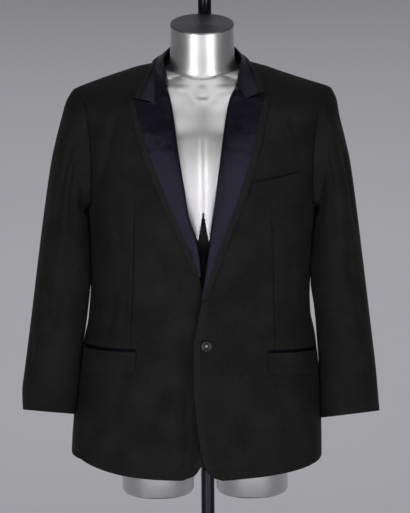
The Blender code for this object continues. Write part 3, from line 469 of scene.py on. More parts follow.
class Graph:
    """A material under work, with the nodes that the finishes share."""

    def __init__(self, name: str, **values) -> None:
        """Starts the material.

        Args:
            name: its name.
            **values: constant shader inputs by name, with _ for a space.
        """
        self.material = bpy.data.materials.new(name)
        self.material.use_nodes = True
        self.tree = self.material.node_tree
        self.shader = self.tree.nodes["Principled BSDF"]
        for key, value in values.items():
            self.shader.inputs[key.replace("_", " ")].default_value = value

    def space(self) -> Socket:
        """Places in the object's own space."""
        return add(self.tree, "ShaderNodeTexCoord").outputs["Object"]

    def noise(self, scale: float, detail: float, where: Socket | None = None) -> Socket:
        """Noise over the object, or over the places given."""
        where = where or self.space()
        node = add(self.tree, "ShaderNodeTexNoise", None, Vector=where, Scale=scale, Detail=detail)
        return node.outputs["Fac"]

    def bands(self, direction: str, width_mm: float, **values: float) -> Socket:
        """Bands of a width laid over the cloth's own coordinates.

        Args:
            direction: the wave node's word for the way they run.
            width_mm: the width of one band.
            **values: more of the wave node's inputs.

        Returns:
            Their height.
        """
        place = add(self.tree, "ShaderNodeUVMap", {"uv_map": "cloth"})
        node = add(
            self.tree, "ShaderNodeTexWave", {"wave_type": "BANDS", "bands_direction": direction},
            Vector=place.outputs[0], Scale=WAVE / (width_mm / 1000) / 2, **values,
        )
        return node.outputs["Fac"]

    def sum(self, first: Socket, share: float, second: Socket) -> Socket:
        """A share of the first value, added to the second."""
        settings = {"operation": "MULTIPLY_ADD"}
        node = add(self.tree, "ShaderNodeMath", settings, in0=first, in1=share, in2=second)
        return node.outputs[0]

    def spread(
        self, value: Socket, start: float, end: float, low: float = 0.0, high: float = 1.0,
    ) -> Socket:
        """Spreads a value's range over another.

        Args:
            value: the value.
            start: where its range starts.
            end: where its range ends.
            low: what it becomes at the start.
            high: what it becomes at the end.

        Returns:
            The new value.
        """
        node = add(
            self.tree, "ShaderNodeMapRange", None, Value=value, From_Min=start, From_Max=end,
            To_Min=low, To_Max=high,
        )
        return node.outputs[0]

    def tint(self, share: Socket, dark: str, light: str) -> None:
        """Colours the material from dark to light by a share.

        Args:
            share: 0 where it is dark and 1 where it is light.
            dark: a hex colour.
            light: a hex colour.
        """
        colour = add(
            self.tree, "ShaderNodeMix", {"data_type": "RGBA"}, Factor=share,
            in6=linear(dark), in7=linear(light),
        )
        self.tree.links.new(colour.outputs[2], self.shader.inputs["Base Color"])

    def relief(self, height: Socket, strength: float, depth: float = 0.0004) -> None:
        """Shades the surface as if it had this height."""
        values = {"Height": height, "Strength": strength, "Distance": depth}
        bump = add(self.tree, "ShaderNodeBump", None, **values)
        self.tree.links.new(bump.outputs[0], self.shader.inputs["Normal"])

    def roughen(self, value: Socket) -> None:
        """Makes the shader as rough as a value says."""
        self.tree.links.new(value, self.shader.inputs["Roughness"])


@dataclass(frozen=True)
class Finish:
    """What every finish has: its material's name."""

    name: str


@dataclass(frozen=True)
class Barathea(Finish):
    """Black barathea: worsted wool woven in a fine broken rib, matte with a faint nap."""

    colour: str = "#101010"
    worn: str = "#1d1d1d"
    thread_mm: float = 2.6  # a 0.35 mm thread, drawn seven times as coarse so that it shows
    mottle_mm: float = 55.0
    fleck_mm: float = 3.4  # slubs of half a millimetre, drawn as coarse as they need to show
    fleck_share: float = 0.9
    shades: Pair = (0.72, 1.18)  # where the black starts and ends
    nap_scale: float = 900.0
    nap_share: float = 0.35

    def build(self) -> Material:
        """Ribs a little apart in height, a soft mottle in the black, and sheen from the nap.

        Returns:
            The finished material.
        """
        graph = Graph(
            self.name, Roughness=0.8, Sheen_Weight=0.02, Sheen_Roughness=0.45,
            Specular_IOR_Level=0.16,
        )
        weave = graph.bands(
            "DIAGONAL", self.thread_mm, Distortion=0.6, Detail=1.0, Detail_Scale=1.5,
        )
        nap = graph.noise(self.nap_scale, 2.0)
        mottle = graph.noise(1000 / self.mottle_mm, 3.0)
        fleck = graph.noise(1000 / self.fleck_mm, 1.0)
        both = graph.sum(fleck, self.fleck_share, mottle)
        graph.tint(graph.spread(both, *self.shades), self.colour, self.worn)
        graph.relief(graph.sum(nap, self.nap_share, weave), 0.22)
        return graph.material


@dataclass(frozen=True)
class Satin(Finish):
    """Midnight satin: long floats of silk-like yarn over a crossing weft, smooth and lustrous."""

    colour: str = "#060509"
    deep: str = "#040406"
    glint: str = "#d4ceff"
    float_mm: float = 0.9  # 0.3 mm floats drawn three times as coarse
    roughness: float = 0.31
    lustre: float = 0.28
    ripple_scale: float = 32.0
    ripple_share: float = 20.0  # the canvas below moves the light far more than a float does

    def build(self) -> Material:
        """A directional gloss with a blue-violet tint, broken by soft ripples from the canvas.

        Returns:
            The finished material.
        """
        graph = Graph(
            self.name, Roughness=self.roughness, Anisotropic=0.4, Specular_IOR_Level=self.lustre,
            Specular_Tint=linear(self.glint),
        )
        ripple = graph.noise(self.ripple_scale, 2.5)
        floats = graph.bands("X", self.float_mm, Distortion=1.2, Detail=2.0)
        graph.tint(ripple, self.deep, self.colour)
        graph.relief(graph.sum(ripple, self.ripple_share, floats), 0.3)
        return graph.material


@dataclass(frozen=True)
class Grosgrain(Finish):
    """Black grosgrain ribbon: fat weft cords under a fine warp, so it is ribbed and dull."""

    colour: str = "#1a1a19"
    # painted shade: the colour in the valleys between the cords
    groove: str = "#0e0e0e"
    rib_mm: float = 1.8  # 0.9 mm cords drawn twice as coarse
    gloss: float = 0.68
    depth: float = 0.0003

    def build(self) -> Material:
        """Ribs across the ribbon, with painted shade darkening it between the cords.

        Returns:
            The finished material.
        """
        graph = Graph(self.name, Roughness=self.gloss, Sheen_Weight=0.02, Specular_IOR_Level=0.18)
        ribs = graph.bands("DIAGONAL", self.rib_mm, Distortion=0.3)
        # painted shade: the colour darkens where the ribs are low
        graph.tint(ribs, self.groove, self.colour)
        graph.relief(ribs, 0.5, self.depth)
        return graph.material


@dataclass(frozen=True)
class BrushedMetal(Finish):
    """Metal or metallised lacquer drawn over with a fine abrasive, with hair lines one way."""

    colour: str = "#d6d5d4"
    roughness: float = 0.33
    line_mm: float = 1.2  # brush lines of 0.1 mm, drawn in bundles
    line_share: float = 0.1
    cloud_scale: float = 14.0
    bump: float = 0.06

    def build(self) -> Material:
        """Hair lines that run level, and a roughness that wanders a little.

        Returns:
            The finished material.
        """
        graph = Graph(self.name, Metallic=1.0, Base_Color=linear(self.colour), Anisotropic=0.35)
        stretch = add(
            graph.tree, "ShaderNodeMapping", None, Vector=graph.space(),
            Scale=(2.0, 2.0, 1000 / self.line_mm),
        )
        lines = graph.noise(1.0, 4.0, stretch.outputs[0])
        both = graph.sum(lines, self.line_share, graph.noise(self.cloud_scale, 3.0))
        graph.roughen(graph.spread(both, 0.3, 0.8, self.roughness - 0.05, self.roughness + 0.07))
        graph.relief(lines, self.bump)
        return graph.material


@dataclass(frozen=True)
class Plated(Finish):
    """Dark plating over polished steel, with a trace of handling in its gloss."""

    colour: str = "#34353a"
    roughness: float = 0.16
    smear_scale: float = 30.0

    def build(self) -> Material:
        """A near mirror whose gloss is slightly uneven.

        Returns:
            The finished material.
        """
        graph = Graph(self.name, Metallic=1.0, Base_Color=linear(self.colour))
        smear = graph.noise(self.smear_scale, 3.0)
        graph.roughen(graph.spread(smear, 0.0, 1.0, self.roughness, self.roughness + 0.08))
        return graph.material


@dataclass(frozen=True)
class Clouded(Finish):
    """A plain coat whose colour wanders a little, with no relief."""

    dark: str
    light: str
    cloud_scale: float
    roughness: float
    gloss: float

    def build(self) -> Material:
        """Soft clouds between two close shades.

        Returns:
            The finished material.
        """
        graph = Graph(self.name, Roughness=self.roughness, Specular_IOR_Level=self.gloss)
        graph.tint(graph.noise(self.cloud_scale, 2.0), self.dark, self.light)
        return graph.material


@dataclass(frozen=True)
class CastResin(Clouded):
    """Cast polyester button blank, tumbled to a soft gloss, with a little cloud in the black."""

    dark: str = "#0c0c0d"
    light: str = "#161618"
    cloud_scale: float = 260.0
    roughness: float = 0.38
    gloss: float = 0.35


@dataclass(frozen=True)
class PaintedFloor(Clouded):
    """A floor in matte studio grey, nearly even, so that only the light models it."""

    dark: str = "#b9b8bd"
    light: str = "#bfbec3"
    cloud_scale: float = 0.7
    roughness: float = 0.9
    gloss: float = 0.1


# The body surface that the cloth lies on


@dataclass(frozen=True)
class Crease:
    """A soft trough (depth above 0) or ridge (below 0) along a line on the cloth."""

    start: Pair
    end: Pair
    width: float
    depth: float
    bow: float = 0.0

    def lift(self, x: Array, z: Array) -> Array:
        """How far the cloth moves out.

        Args:
            x: places across.
            z: their heights.

        Returns:
            The move at each place, below 0 in a trough.
        """
        a, b = np.array(self.start), np.array(self.end)
        span = b - a
        length = np.linalg.norm(span)
        along = ((x - a[0]) * span[0] + (z - a[1]) * span[1]) / length**2
        off = ((x - a[0]) * -span[1] + (z - a[1]) * span[0]) / length
        off = off - self.bow * 4 * along * (1 - along)
        fade = ramp(along, -0.1, 0.28) * (1 - ramp(along, 0.7, 1.1))
        return -self.depth * fade * np.exp(-((off / self.width) ** 2))


def drawn(*rows: tuple) -> tuple[Crease, ...]:
    """Creases from rows of start x and z, end x and z, width, depth and bow."""
    return tuple(Crease(row[:2], row[2:4], *row[4:]) for row in rows)


@dataclass(frozen=True)
class Body:
    """The surface that all body panels share, from a table of girths."""

    seam_gap: float = 0.00005
    neck_point: Pair = (0.097, 1.433)
    shoulder_tip: Pair = (0.2348, 1.3905)
    seam_back: Pair = (0.012, 0.004)  # the shoulder seam's depth, neck and tip
    round_over: Pair = (0.045, 0.052)  # how far down the shoulder rounds
    neck_half: float = 0.0745
    neck_back: float = 0.096
    neck_drop: float = 0.03  # below the seam, where the back has its full depth
    left_sag: float = 0.0033  # how much lower the wearer's left shoulder is in its middle
    neck_dip: Triple = (0.003, 0.09, 0.125)  # depth, from, to
    hem_front: float = 0.6765
    hem_half: float = 0.235
    hem_back: float = 0.69
    # rise, power, and how far out the side seam meets it, by the side's sign
    hem_rises: dict = table({
        1: (0.0125, 1.9, 0.202), -1: (0.0225, 3.2, 0.232),
    })
    hem_fade: int = 4  # how soon up the cloth the hem's line is lost
    seam_fade: int = 8  # how soon down the cloth the shoulder's line is lost
    underarm: float = 1.165
    front_notch: float = 1.19
    back_notch: float = 1.21
    # the lifted edge of the upper front: where it sinks to the body, its lift, and where that ends
    lap_across: Pair = (0.022, 0.09)
    lap_lift: float = 0.0042
    lap_end: Pair = (1.05, 1.2)
    # the roll of its lapel above the button: lift, and the heights where that starts and ends
    roll_lift: float = 0.0085
    roll_start: Pair = (0.945, 1.02)
    roll_end: Pair = (1.06, 1.2)
    slope_step: float = 0.0004
    # height, half width, shift, front depth, back depth, squareness
    girths: tuple = (
        (0.66, 0.2338, -0.0162, 0.15, 0.14, 2.5), (0.76, 0.2315, -0.0135, 0.15, 0.142, 2.5),
        (0.84, 0.2257, -0.0093, 0.149, 0.135, 2.4), (0.914, 0.2167, -0.0078, 0.147, 0.124, 2.4),
        (0.96, 0.2078, -0.0081, 0.146, 0.117, 2.4), (1.02, 0.2045, -0.0065, 0.143, 0.115, 2.4),
        (1.09, 0.2065, -0.0045, 0.141, 0.12, 2.5), (1.165, 0.2105, -0.003, 0.14, 0.13, 2.6),
        (1.25, 0.215, -0.002, 0.133, 0.138, 2.6), (1.33, 0.226, -0.001, 0.118, 0.136, 2.6),
        (1.39, 0.247, 0.0, 0.096, 0.12, 2.6), (1.45, 0.26, 0.0, 0.06, 0.095, 2.6),
    )
    # height, across
    upper_edge: tuple = (
        (0.679, 0.033), (0.6838, 0.0183), (0.6954, 0.0054), (0.7128, -0.0032), (0.7781, -0.013),
        (0.8739, -0.02), (0.9198, -0.02), (1.006, -0.0065), (1.0522, 0.003), (1.1384, 0.0157),
        (1.229, 0.0283), (1.3173, 0.04), (1.36, 0.0463), (1.3979, 0.0545), (1.4152, 0.068),
        (1.429, 0.0725), (1.4378, 0.0745),
    )
    under_edge: tuple = (
        (0.6805, 0.042), (0.6878, 0.0225), (0.6973, 0.0131), (0.7108, 0.0047), (0.735, -0.004),
        (0.77, -0.012), (0.82, -0.018), (0.975, -0.018), (1.02, -0.005), (1.048, 0.0045),
        (1.069, 0.0088), (1.1, 0.01), (1.1383, 0.0165), (1.1839, 0.0312), (1.2291, 0.038),
        (1.3172, 0.0515), (1.37, 0.0575), (1.415, 0.071), (1.429, 0.0735), (1.4378, 0.0745),
    )
    armhole_front: tuple = (
        (1.19, 0.205), (1.24, 0.2045), (1.29, 0.2065), (1.34, 0.212), (1.37, 0.218), (1.383, 0.225),
        (1.3905, 0.2348),
    )
    armhole_back: tuple = (
        (1.21, 0.201), (1.26, 0.199), (1.31, 0.202), (1.35, 0.21), (1.378, 0.2215),
        (1.3905, 0.2348),
    )
    # height, share of the half width
    front_seam: tuple = ((0.66, 0.925), (0.84, 0.93), (1.02, 0.935), (1.12, 0.952))
    back_seam: tuple = ((0.66, 0.87), (0.84, 0.87), (1.02, 0.88), (1.12, 0.92))

    def girth(self, z: Value) -> tuple:
        """Half width, shift, front depth, back depth and squareness at a height."""
        curve = Curve(self.girths)
        return tuple(curve.at(z, column) for column in range(5))

    def back_neck(self, x: Value) -> Array:
        """Height of the neck seam at the back.

        Args:
            x: places across.

        Returns:
            The seam's height at each place.
        """
        x = np.asarray(x, float)
        middle = mix(*self.seam_back, self.outward(x))
        bow = np.sqrt(np.clip(1 - (x / self.neck_half) ** 2, 0, 1))
        full = self.girth(self.seam_height(x) - self.neck_drop)[3]
        sine = np.clip((self.neck_back - middle) * bow / (full - middle), 0, 1)
        size = mix(*self.round_over, self.outward(x))
        return self.seam_height(x) - size * (1 - np.sqrt(1 - sine**2))

    def seam_height(self, x: Array) -> Array:
        """Height of the shoulder seam.

        Args:
            x: places across.

        Returns:
            The seam's height at each place.
        """
        (neck_x, neck_z), (tip_x, tip_z) = self.neck_point, self.shoulder_tip
        along = np.clip((x - neck_x) / (tip_x - neck_x), 0, 1)
        sag = self.left_sag * 4 * along * (1 - along)
        dip, start, end = self.neck_dip
        sag = sag + dip * (1 - ramp(np.abs(x), start, end))
        return neck_z + (np.abs(x) - neck_x) * (tip_z - neck_z) / (tip_x - neck_x) - sag

    def outward(self, x: Array) -> Array:
        """Share of the way from the neck to the shoulder's tip."""
        return np.clip((np.abs(x) - self.neck_half) / (self.shoulder_tip[0] - self.neck_half), 0, 1)

    def rounded_over(self, x: Array, y: Array, z: Array) -> Array:
        """The surface's depth, drawn in to the shoulder seam near the top.

        Args:
            x: places across.
            y: their depths on the girth.
            z: their heights.

        Returns:
            The depth of each place.
        """
        size = mix(*self.round_over, self.outward(x))
        cosine = np.clip(1 - (self.seam_height(x) - z) / size, 0, 1)
        middle = mix(*self.seam_back, self.outward(x))
        return middle + (y - middle) * np.sqrt(1 - cosine * cosine)

    def depth(self, x: Array, z: Array, face: int) -> Array:
        """The surface's depth.

        Args:
            x: places across.
            z: their heights.
            face: -1 on the front and 1 on the back.

        Returns:
            The depth of each place.
        """
        half, shift, front, back, square = self.girth(z)
        share = np.minimum(np.abs(x - shift) / half, 1)
        reach = front if face < 0 else back
        return self.rounded_over(x, face * reach * (1 - share**square) ** (1 / square), z)

    def skin(self, x: Array, z: Array, face: int, lift: Value = 0.0) -> Array:
        """Points on the surface or off it.

        Args:
            x: places across.
            z: their heights.
            face: -1 on the front and 1 on the back.
            lift: how far each point stands off.

        Returns:
            One point for each place.
        """
        step = self.slope_step
        slope_x = (self.depth(x + step, z, face) - self.depth(x - step, z, face)) / (2 * step)
        slope_z = (self.depth(x, z + step, face) - self.depth(x, z - step, face)) / (2 * step)
        out = np.stack([-slope_x, np.ones_like(slope_x), -slope_z], -1) * face
        out /= np.linalg.norm(out, axis=-1, keepdims=True)
        y = self.depth(x, z, face) + face * self.seam_gap / 2
        place = np.stack(np.broadcast_arrays(x, y, z), -1)
        return place + out * np.asarray(lift)[..., None]

    def flank(self, side: int, angle: Array, z: Array) -> Array:
        """Points round the girth.

        Args:
            side: the side's sign.
            angle: -90 degrees at the centre front and 90 at the centre back, in radians.
            z: heights.

        Returns:
            One point for each angle and height.
        """
        half, shift, front, back, square = self.girth(z)
        power = 2 / square
        reach = np.where(angle < 0, front, back)
        x = shift + side * half * np.cos(angle) ** power
        y = np.sign(angle) * reach * np.abs(np.sin(angle)) ** power
        return np.stack(np.broadcast_arrays(x, self.rounded_over(x, y, z), z), -1)

    def angle_of(self, share: Array, z: Array, face: int) -> Array:
        """The angle at which the girth is this share of its half width from the middle."""
        return face * np.arccos(np.minimum(share, 1.0) ** (self.girth(z)[4] / 2))

    def hem_height(self, x: Array, side: int) -> Array:
        """Height of the front hem this far out from the middle."""
        rise, power, _ = self.hem_rises[side]
        share = np.minimum(np.abs(x), self.hem_half) / self.hem_half
        return self.hem_front + rise * share**power

    def hem_end(self, side: int) -> float:
        """Height of the front hem at the side seam."""
        return float(self.hem_height(np.array(self.hem_rises[side][2]), side))

    def edges(self, face: int) -> tuple[tuple, float, tuple]:
        """The front's or back's side seam, the height of its notch, and its armhole."""
        if face < 0:
            return self.front_seam, self.front_notch, self.armhole_front
        return self.back_seam, self.back_notch, self.armhole_back

    def seam_share(self, face: int) -> Curve:
        """The side seam as a share of the half width."""
        rows, notch, hole = self.edges(face)
        return Curve(rows + ((notch, hole[0][1] / float(self.girth(notch)[0])),))

    def outer_edge(self, z: Array, side: int, face: int) -> Array:
        """The panel's outer edge: the side seam, then the armhole above its notch.

        Args:
            z: heights.
            side: the side's sign.
            face: -1 on the front and 1 on the back.

        Returns:
            How far out the edge is at each height.
        """
        _, notch, hole = self.edges(face)
        half, shift = self.girth(z)[:2]
        low = half * self.seam_share(face).at(z) - self.seam_gap / 2
        return side * shift + np.where(z < notch, low, Curve(hole).at(z))

    def overlap_lift(self, x: Array, z: Array) -> Array:
        """How far the upper front stands off the body, where it laps over the other and rolls.

        Args:
            x: places across, outwards.
            z: their heights.

        Returns:
            The lift at each place.
        """
        near = 1 - ramp(x, *self.lap_across)
        rolled = ramp(z, *self.roll_start) * (1 - ramp(z, *self.roll_end))
        return near * mix(self.lap_lift * (1 - ramp(z, *self.lap_end)), self.roll_lift, rolled)


BODY = Body()


@dataclass
class Fronts:
    """Both fronts, with their chest darts, creases and pressed edges."""

    cloth: float = 0.0018
    columns: int = 120
    rows: int = 190
    dart_share: float = 0.55  # where the dart's line lies across the grid
    row_pull: float = 0.72
    column_pull: float = 0.85
    # the dart's sewn line: depth and half width
    dart_line: Pair = (0.003, 0.0015)
    # the fullness beside it: lift, distance from the line, half width
    dart_full: Triple = (0.0008, 0.004, 0.0035)
    # where it fades: below and above its foot, and below its top
    dart_ends: Triple = (0.004, 0.01, 0.05)
    # the under front: how deep it falls back, from where to where behind the edge, and up to where
    under_fall: float = 0.0045
    under_across: Pair = (0.002, 0.034)
    under_top: Pair = (1.0, 1.06)
    # across, height: top and foot of each chest dart, on the wearer's left and right
    darts: dict = table({
        Side.LEFT: ((0.1274, 1.205), (0.1322, 0.925)),
        Side.RIGHT: ((0.1258, 1.229), (0.1368, 0.928)),
    })
    # lines in (across, height), measured out from the centre on each side
    creases: dict = table({
        Side.RIGHT: drawn(
            (0.028, 0.96, 0.031, 0.68, 0.011, 0.01),
            (0.16, 1.368, 0.193, 1.223, 0.009, 0.0046, 0.002),
            (0.13, 1.36, 0.156, 1.23, 0.011, -0.0026, 0.004),
            (0.178, 1.23, 0.15, 1.06, 0.013, 0.0032, -0.003),
            (0.085, 1.13, 0.07, 0.98, 0.016, 0.0029), (0.165, 1.05, 0.175, 0.94, 0.01, 0.0029),
            (0.095, 0.89, 0.09, 0.72, 0.018, 0.0035, 0.003),
            (0.16, 0.87, 0.172, 0.71, 0.014, 0.0038, -0.003),
        ),
        Side.LEFT: drawn(
            (0.16, 1.37, 0.183, 1.26, 0.01, 0.0029, 0.003),
            (0.125, 1.19, 0.105, 1.05, 0.014, 0.0032, -0.004),
            (0.05, 1.0, 0.1, 1.1, 0.012, 0.0035, 0.004),
            (0.035, 0.95, 0.09, 0.99, 0.009, 0.0029, 0.002),
            (0.17, 1.14, 0.16, 0.99, 0.013, 0.0032, 0.002),
            (0.09, 0.88, 0.08, 0.72, 0.018, 0.0035, -0.003),
            (0.145, 0.87, 0.16, 0.7, 0.015, 0.0038, 0.003),
        ),
    })

    def patch(self, side: Side) -> Patch:
        """The outer face of one front, with its creases and its dart.

        Args:
            side: the wearer's side.

        Returns:
            The patch, its rows from the hem up and its columns from the free edge out.
        """
        s = side.value
        edge = BODY.upper_edge if s > 0 else BODY.under_edge
        v = dense(self.rows, self.row_pull)[:, None]
        low, high, tip = edge[0][0], edge[-1][0], BODY.shoulder_tip[1]
        inner_z = mix(low, high, v)
        start = Curve(edge).at(inner_z)
        hem_end = BODY.hem_end(s)
        outer_z = mix(hem_end, tip, v)
        end = BODY.outer_edge(outer_z, s, -1)
        (top_x, top_z), (low_x, low_z) = self.darts[side]
        lean = np.clip((inner_z - low_z) / (top_z - low_z), -0.8, 1.6)
        u = self.across((mix(low_x, top_x, lean) - start) / (end - start))
        x = mix(start, end, u)
        z = mix(inner_z, outer_z, u)
        z = z + (BODY.hem_height(x, s) - mix(low, hem_end, u)) * (1 - v) ** BODY.hem_fade
        seam_x = mix(edge[-1][1], BODY.outer_edge(tip, s, -1), u)
        z = z + (BODY.seam_height(s * seam_x) - mix(high, tip, u)) * v**BODY.seam_fade
        z = np.minimum(z, BODY.seam_height(s * x))
        away = x - mix(low_x, top_x, np.clip((z - low_z) / (top_z - low_z), -1, 2))
        below, above, under_top = self.dart_ends
        fade = ramp(z, low_z - below, low_z + above) * (1 - ramp(z, top_z - under_top, top_z))
        deep, half = self.dart_line
        lift = self.lie(side, x, z) - deep * fade * np.exp(-((away / half) ** 2))
        full, beside, half = self.dart_full
        lift = lift + full * fade * np.exp(-(((away - beside) / half) ** 2))
        return Patch(BODY.skin(s * x, z, -1, lift), s)

    def across(self, dart_u: Array) -> Array:
        """Column places, closest together at the edges and along the dart.

        Args:
            dart_u: where the dart's line crosses each row, as a share of the row.

        Returns:
            A row of shares for each row.
        """
        left = int(self.columns * self.dart_share)
        first = dense(left, self.column_pull)
        second = dense(self.columns - left + 1, self.column_pull)[1:]
        return np.concatenate([first * dart_u, dart_u + second * (1 - dart_u)], axis=1)

    def fall_back(self, x: Array, z: Array) -> Array:
        """The under front's lift, below 0 where the other lies over it."""
        behind = x + Curve(BODY.upper_edge).at(z)
        near, low = 1 - ramp(behind, *self.under_across), 1 - ramp(z, *self.under_top)
        return -self.under_fall * near * low

    def lie(self, side: Side, x: Array, z: Array) -> Array:
        """How far the front's cloth stands off the body, with its creases.

        Args:
            side: the wearer's side.
            x: places across, outwards.
            z: their heights.

        Returns:
            The lift at each place.
        """
        lift = BODY.overlap_lift(x, z) if side is Side.LEFT else self.fall_back(x, z)
        for crease in self.creases[side]:
            lift = lift + crease.lift(x, z)
        return lift

    def build(self, wool: Material) -> None:
        """Makes both fronts.

        Args:
            wool: the cloth's finish.
        """
        for side in Side:
            patch = self.patch(side).edged(*SEAM, "r")
            name = f"{side.hand}_front"
            piece = seat(patch.shell(name, self.cloth, wool), "wool", f"front_{side.hand}")


@dataclass
class Backs:
    """Both backs, joined at the centre seam."""

    cloth: float = 0.0018
    columns: int = 90
    rows: int = 170
    row_pull: float = 0.72
    column_pull: float = 0.75
    flat_middle: float = 0.02  # how far out from the centre seam the creases start
    creases: dict = table({
        Side.RIGHT: drawn(
            (0.17, 1.33, 0.11, 1.2, 0.016, 0.0048, 0.006),
            (0.185, 1.26, 0.15, 1.12, 0.014, 0.0042, -0.004),
            (0.03, 1.05, 0.13, 1.0, 0.011, 0.0038, 0.004),
            (0.03, 1.0, 0.12, 0.97, 0.01, 0.0029, -0.003), (0.09, 0.9, 0.08, 0.72, 0.02, 0.0038),
            (0.15, 0.89, 0.165, 0.71, 0.016, 0.0042, 0.004),
        ),
        Side.LEFT: drawn(
            (0.165, 1.32, 0.125, 1.18, 0.015, 0.0042, -0.004),
            (0.19, 1.24, 0.165, 1.13, 0.012, 0.0038, 0.003),
            (0.025, 1.065, 0.11, 1.02, 0.012, 0.0042, 0.003),
            (0.04, 1.01, 0.15, 0.995, 0.01, 0.0026, 0.004),
            (0.08, 0.88, 0.095, 0.7, 0.019, 0.0038, -0.004),
            (0.14, 0.87, 0.15, 0.72, 0.015, 0.0035),
        ),
    })

    def patch(self, side: Side) -> Patch:
        """The outer face of one back, with its creases.

        Args:
            side: the wearer's side.

        Returns:
            The patch, its rows from the hem up and its columns from the centre seam out.
        """
        s = side.value
        u = dense(self.columns, self.column_pull)[None, :]
        v = dense(self.rows, self.row_pull)[:, None]
        top_middle, tip = float(BODY.back_neck(0.0)), BODY.shoulder_tip[1]
        inner_z, outer_z = mix(BODY.hem_back, top_middle, v), mix(BODY.hem_back, tip, v)
        start = s * BODY.girth(inner_z)[1] * (1 - v) + BODY.seam_gap / 2
        x = mix(start, BODY.outer_edge(outer_z, s, 1), u)
        z = mix(inner_z, outer_z, u)
        z = z + (BODY.back_neck(s * x) - mix(top_middle, tip, u)) * v**BODY.seam_fade
        z = np.minimum(z, BODY.seam_height(s * x))
        lift = sum(crease.lift(x, z) for crease in self.creases[side])
        return Patch(BODY.skin(s * x, z, 1, lift * ramp(x, 0.0, self.flat_middle)), -s)

    def build(self, wool: Material) -> None:
        """Makes both backs.

        Args:
            wool: the cloth's finish.
        """
        for side in Side:
            hand = side.hand
            patch = self.patch(side).edged(*SEAM, "lr").shell(f"{hand}_back", self.cloth, wool)
            piece = seat(patch, "wool", f"back_{hand}")


@dataclass
class Sides:
    """The side panels under the arms."""

    cloth: float = 0.0018
    columns: int = 48
    rows: int = 110
    pull: float = 0.6
    top_power: float = 2.4  # how square the underarm's hollow is
    girth: float = 0.15  # metres round the panel, for its folds
    flat_edge: float = 0.1  # share of that without folds beside each seam
    # folds in (metres round, height), and how far the right side's are moved from the left's
    fold_shift: float = 0.012

    def folds(self, side: Side) -> tuple[Crease, ...]:
        """The side's long soft folds below the waist.

        Args:
            side: the wearer's side.

        Returns:
            The folds.
        """
        shift = 0.0 if side is Side.LEFT else self.fold_shift
        return drawn(
            (0.05 + shift, 1.02, 0.07, 0.74, 0.014, 0.0035, 0.004),
            (0.105, 1.06 + shift, 0.098, 0.78, 0.017, 0.0042, -0.003),
            (0.04, 1.13, 0.12 - shift, 1.03, 0.011, 0.0032, 0.004),
        )

    def patch(self, side: Side) -> Patch:
        """The outer face of one side panel, with its folds.

        Args:
            side: the wearer's side.

        Returns:
            The patch, its rows from the hem up and its columns from the front's seam back.
        """
        u, v = dense(self.columns, self.pull)[None, :], dense(self.rows, self.pull)[:, None]
        rise = np.where(u < 0.5, BODY.front_notch, BODY.back_notch) - BODY.underarm
        top = BODY.underarm + rise * np.abs(2 * u - 1) ** self.top_power
        z = mix(mix(BODY.hem_end(side.value), BODY.hem_back, u), top, v)
        gap = BODY.seam_gap / 2 / BODY.girth(z)[0]
        shares = {face: BODY.seam_share(face).at(z) + gap for face in (-1, 1)}
        first, last = (BODY.angle_of(share, z, face) for face, share in shares.items())
        patch = Patch(BODY.flank(side.value, mix(first, last, u), z), side.value)
        along = np.broadcast_to(u * self.girth, z.shape)
        lift = sum(fold.lift(along, z) for fold in self.folds(side))
        return patch.raised(lift * ramp(u, 0, self.flat_edge) * ramp(1 - u, 0, self.flat_edge))

    def build(self, wool: Material) -> None:
        """Makes both side panels.

        Args:
            wool: the cloth's finish.
        """
        for side in Side:
            hand = side.hand
            patch = self.patch(side).edged(*SEAM, "lrt").shell(f"{hand}_side", self.cloth, wool)
            piece = seat(patch, "wool", f"side_{hand}")


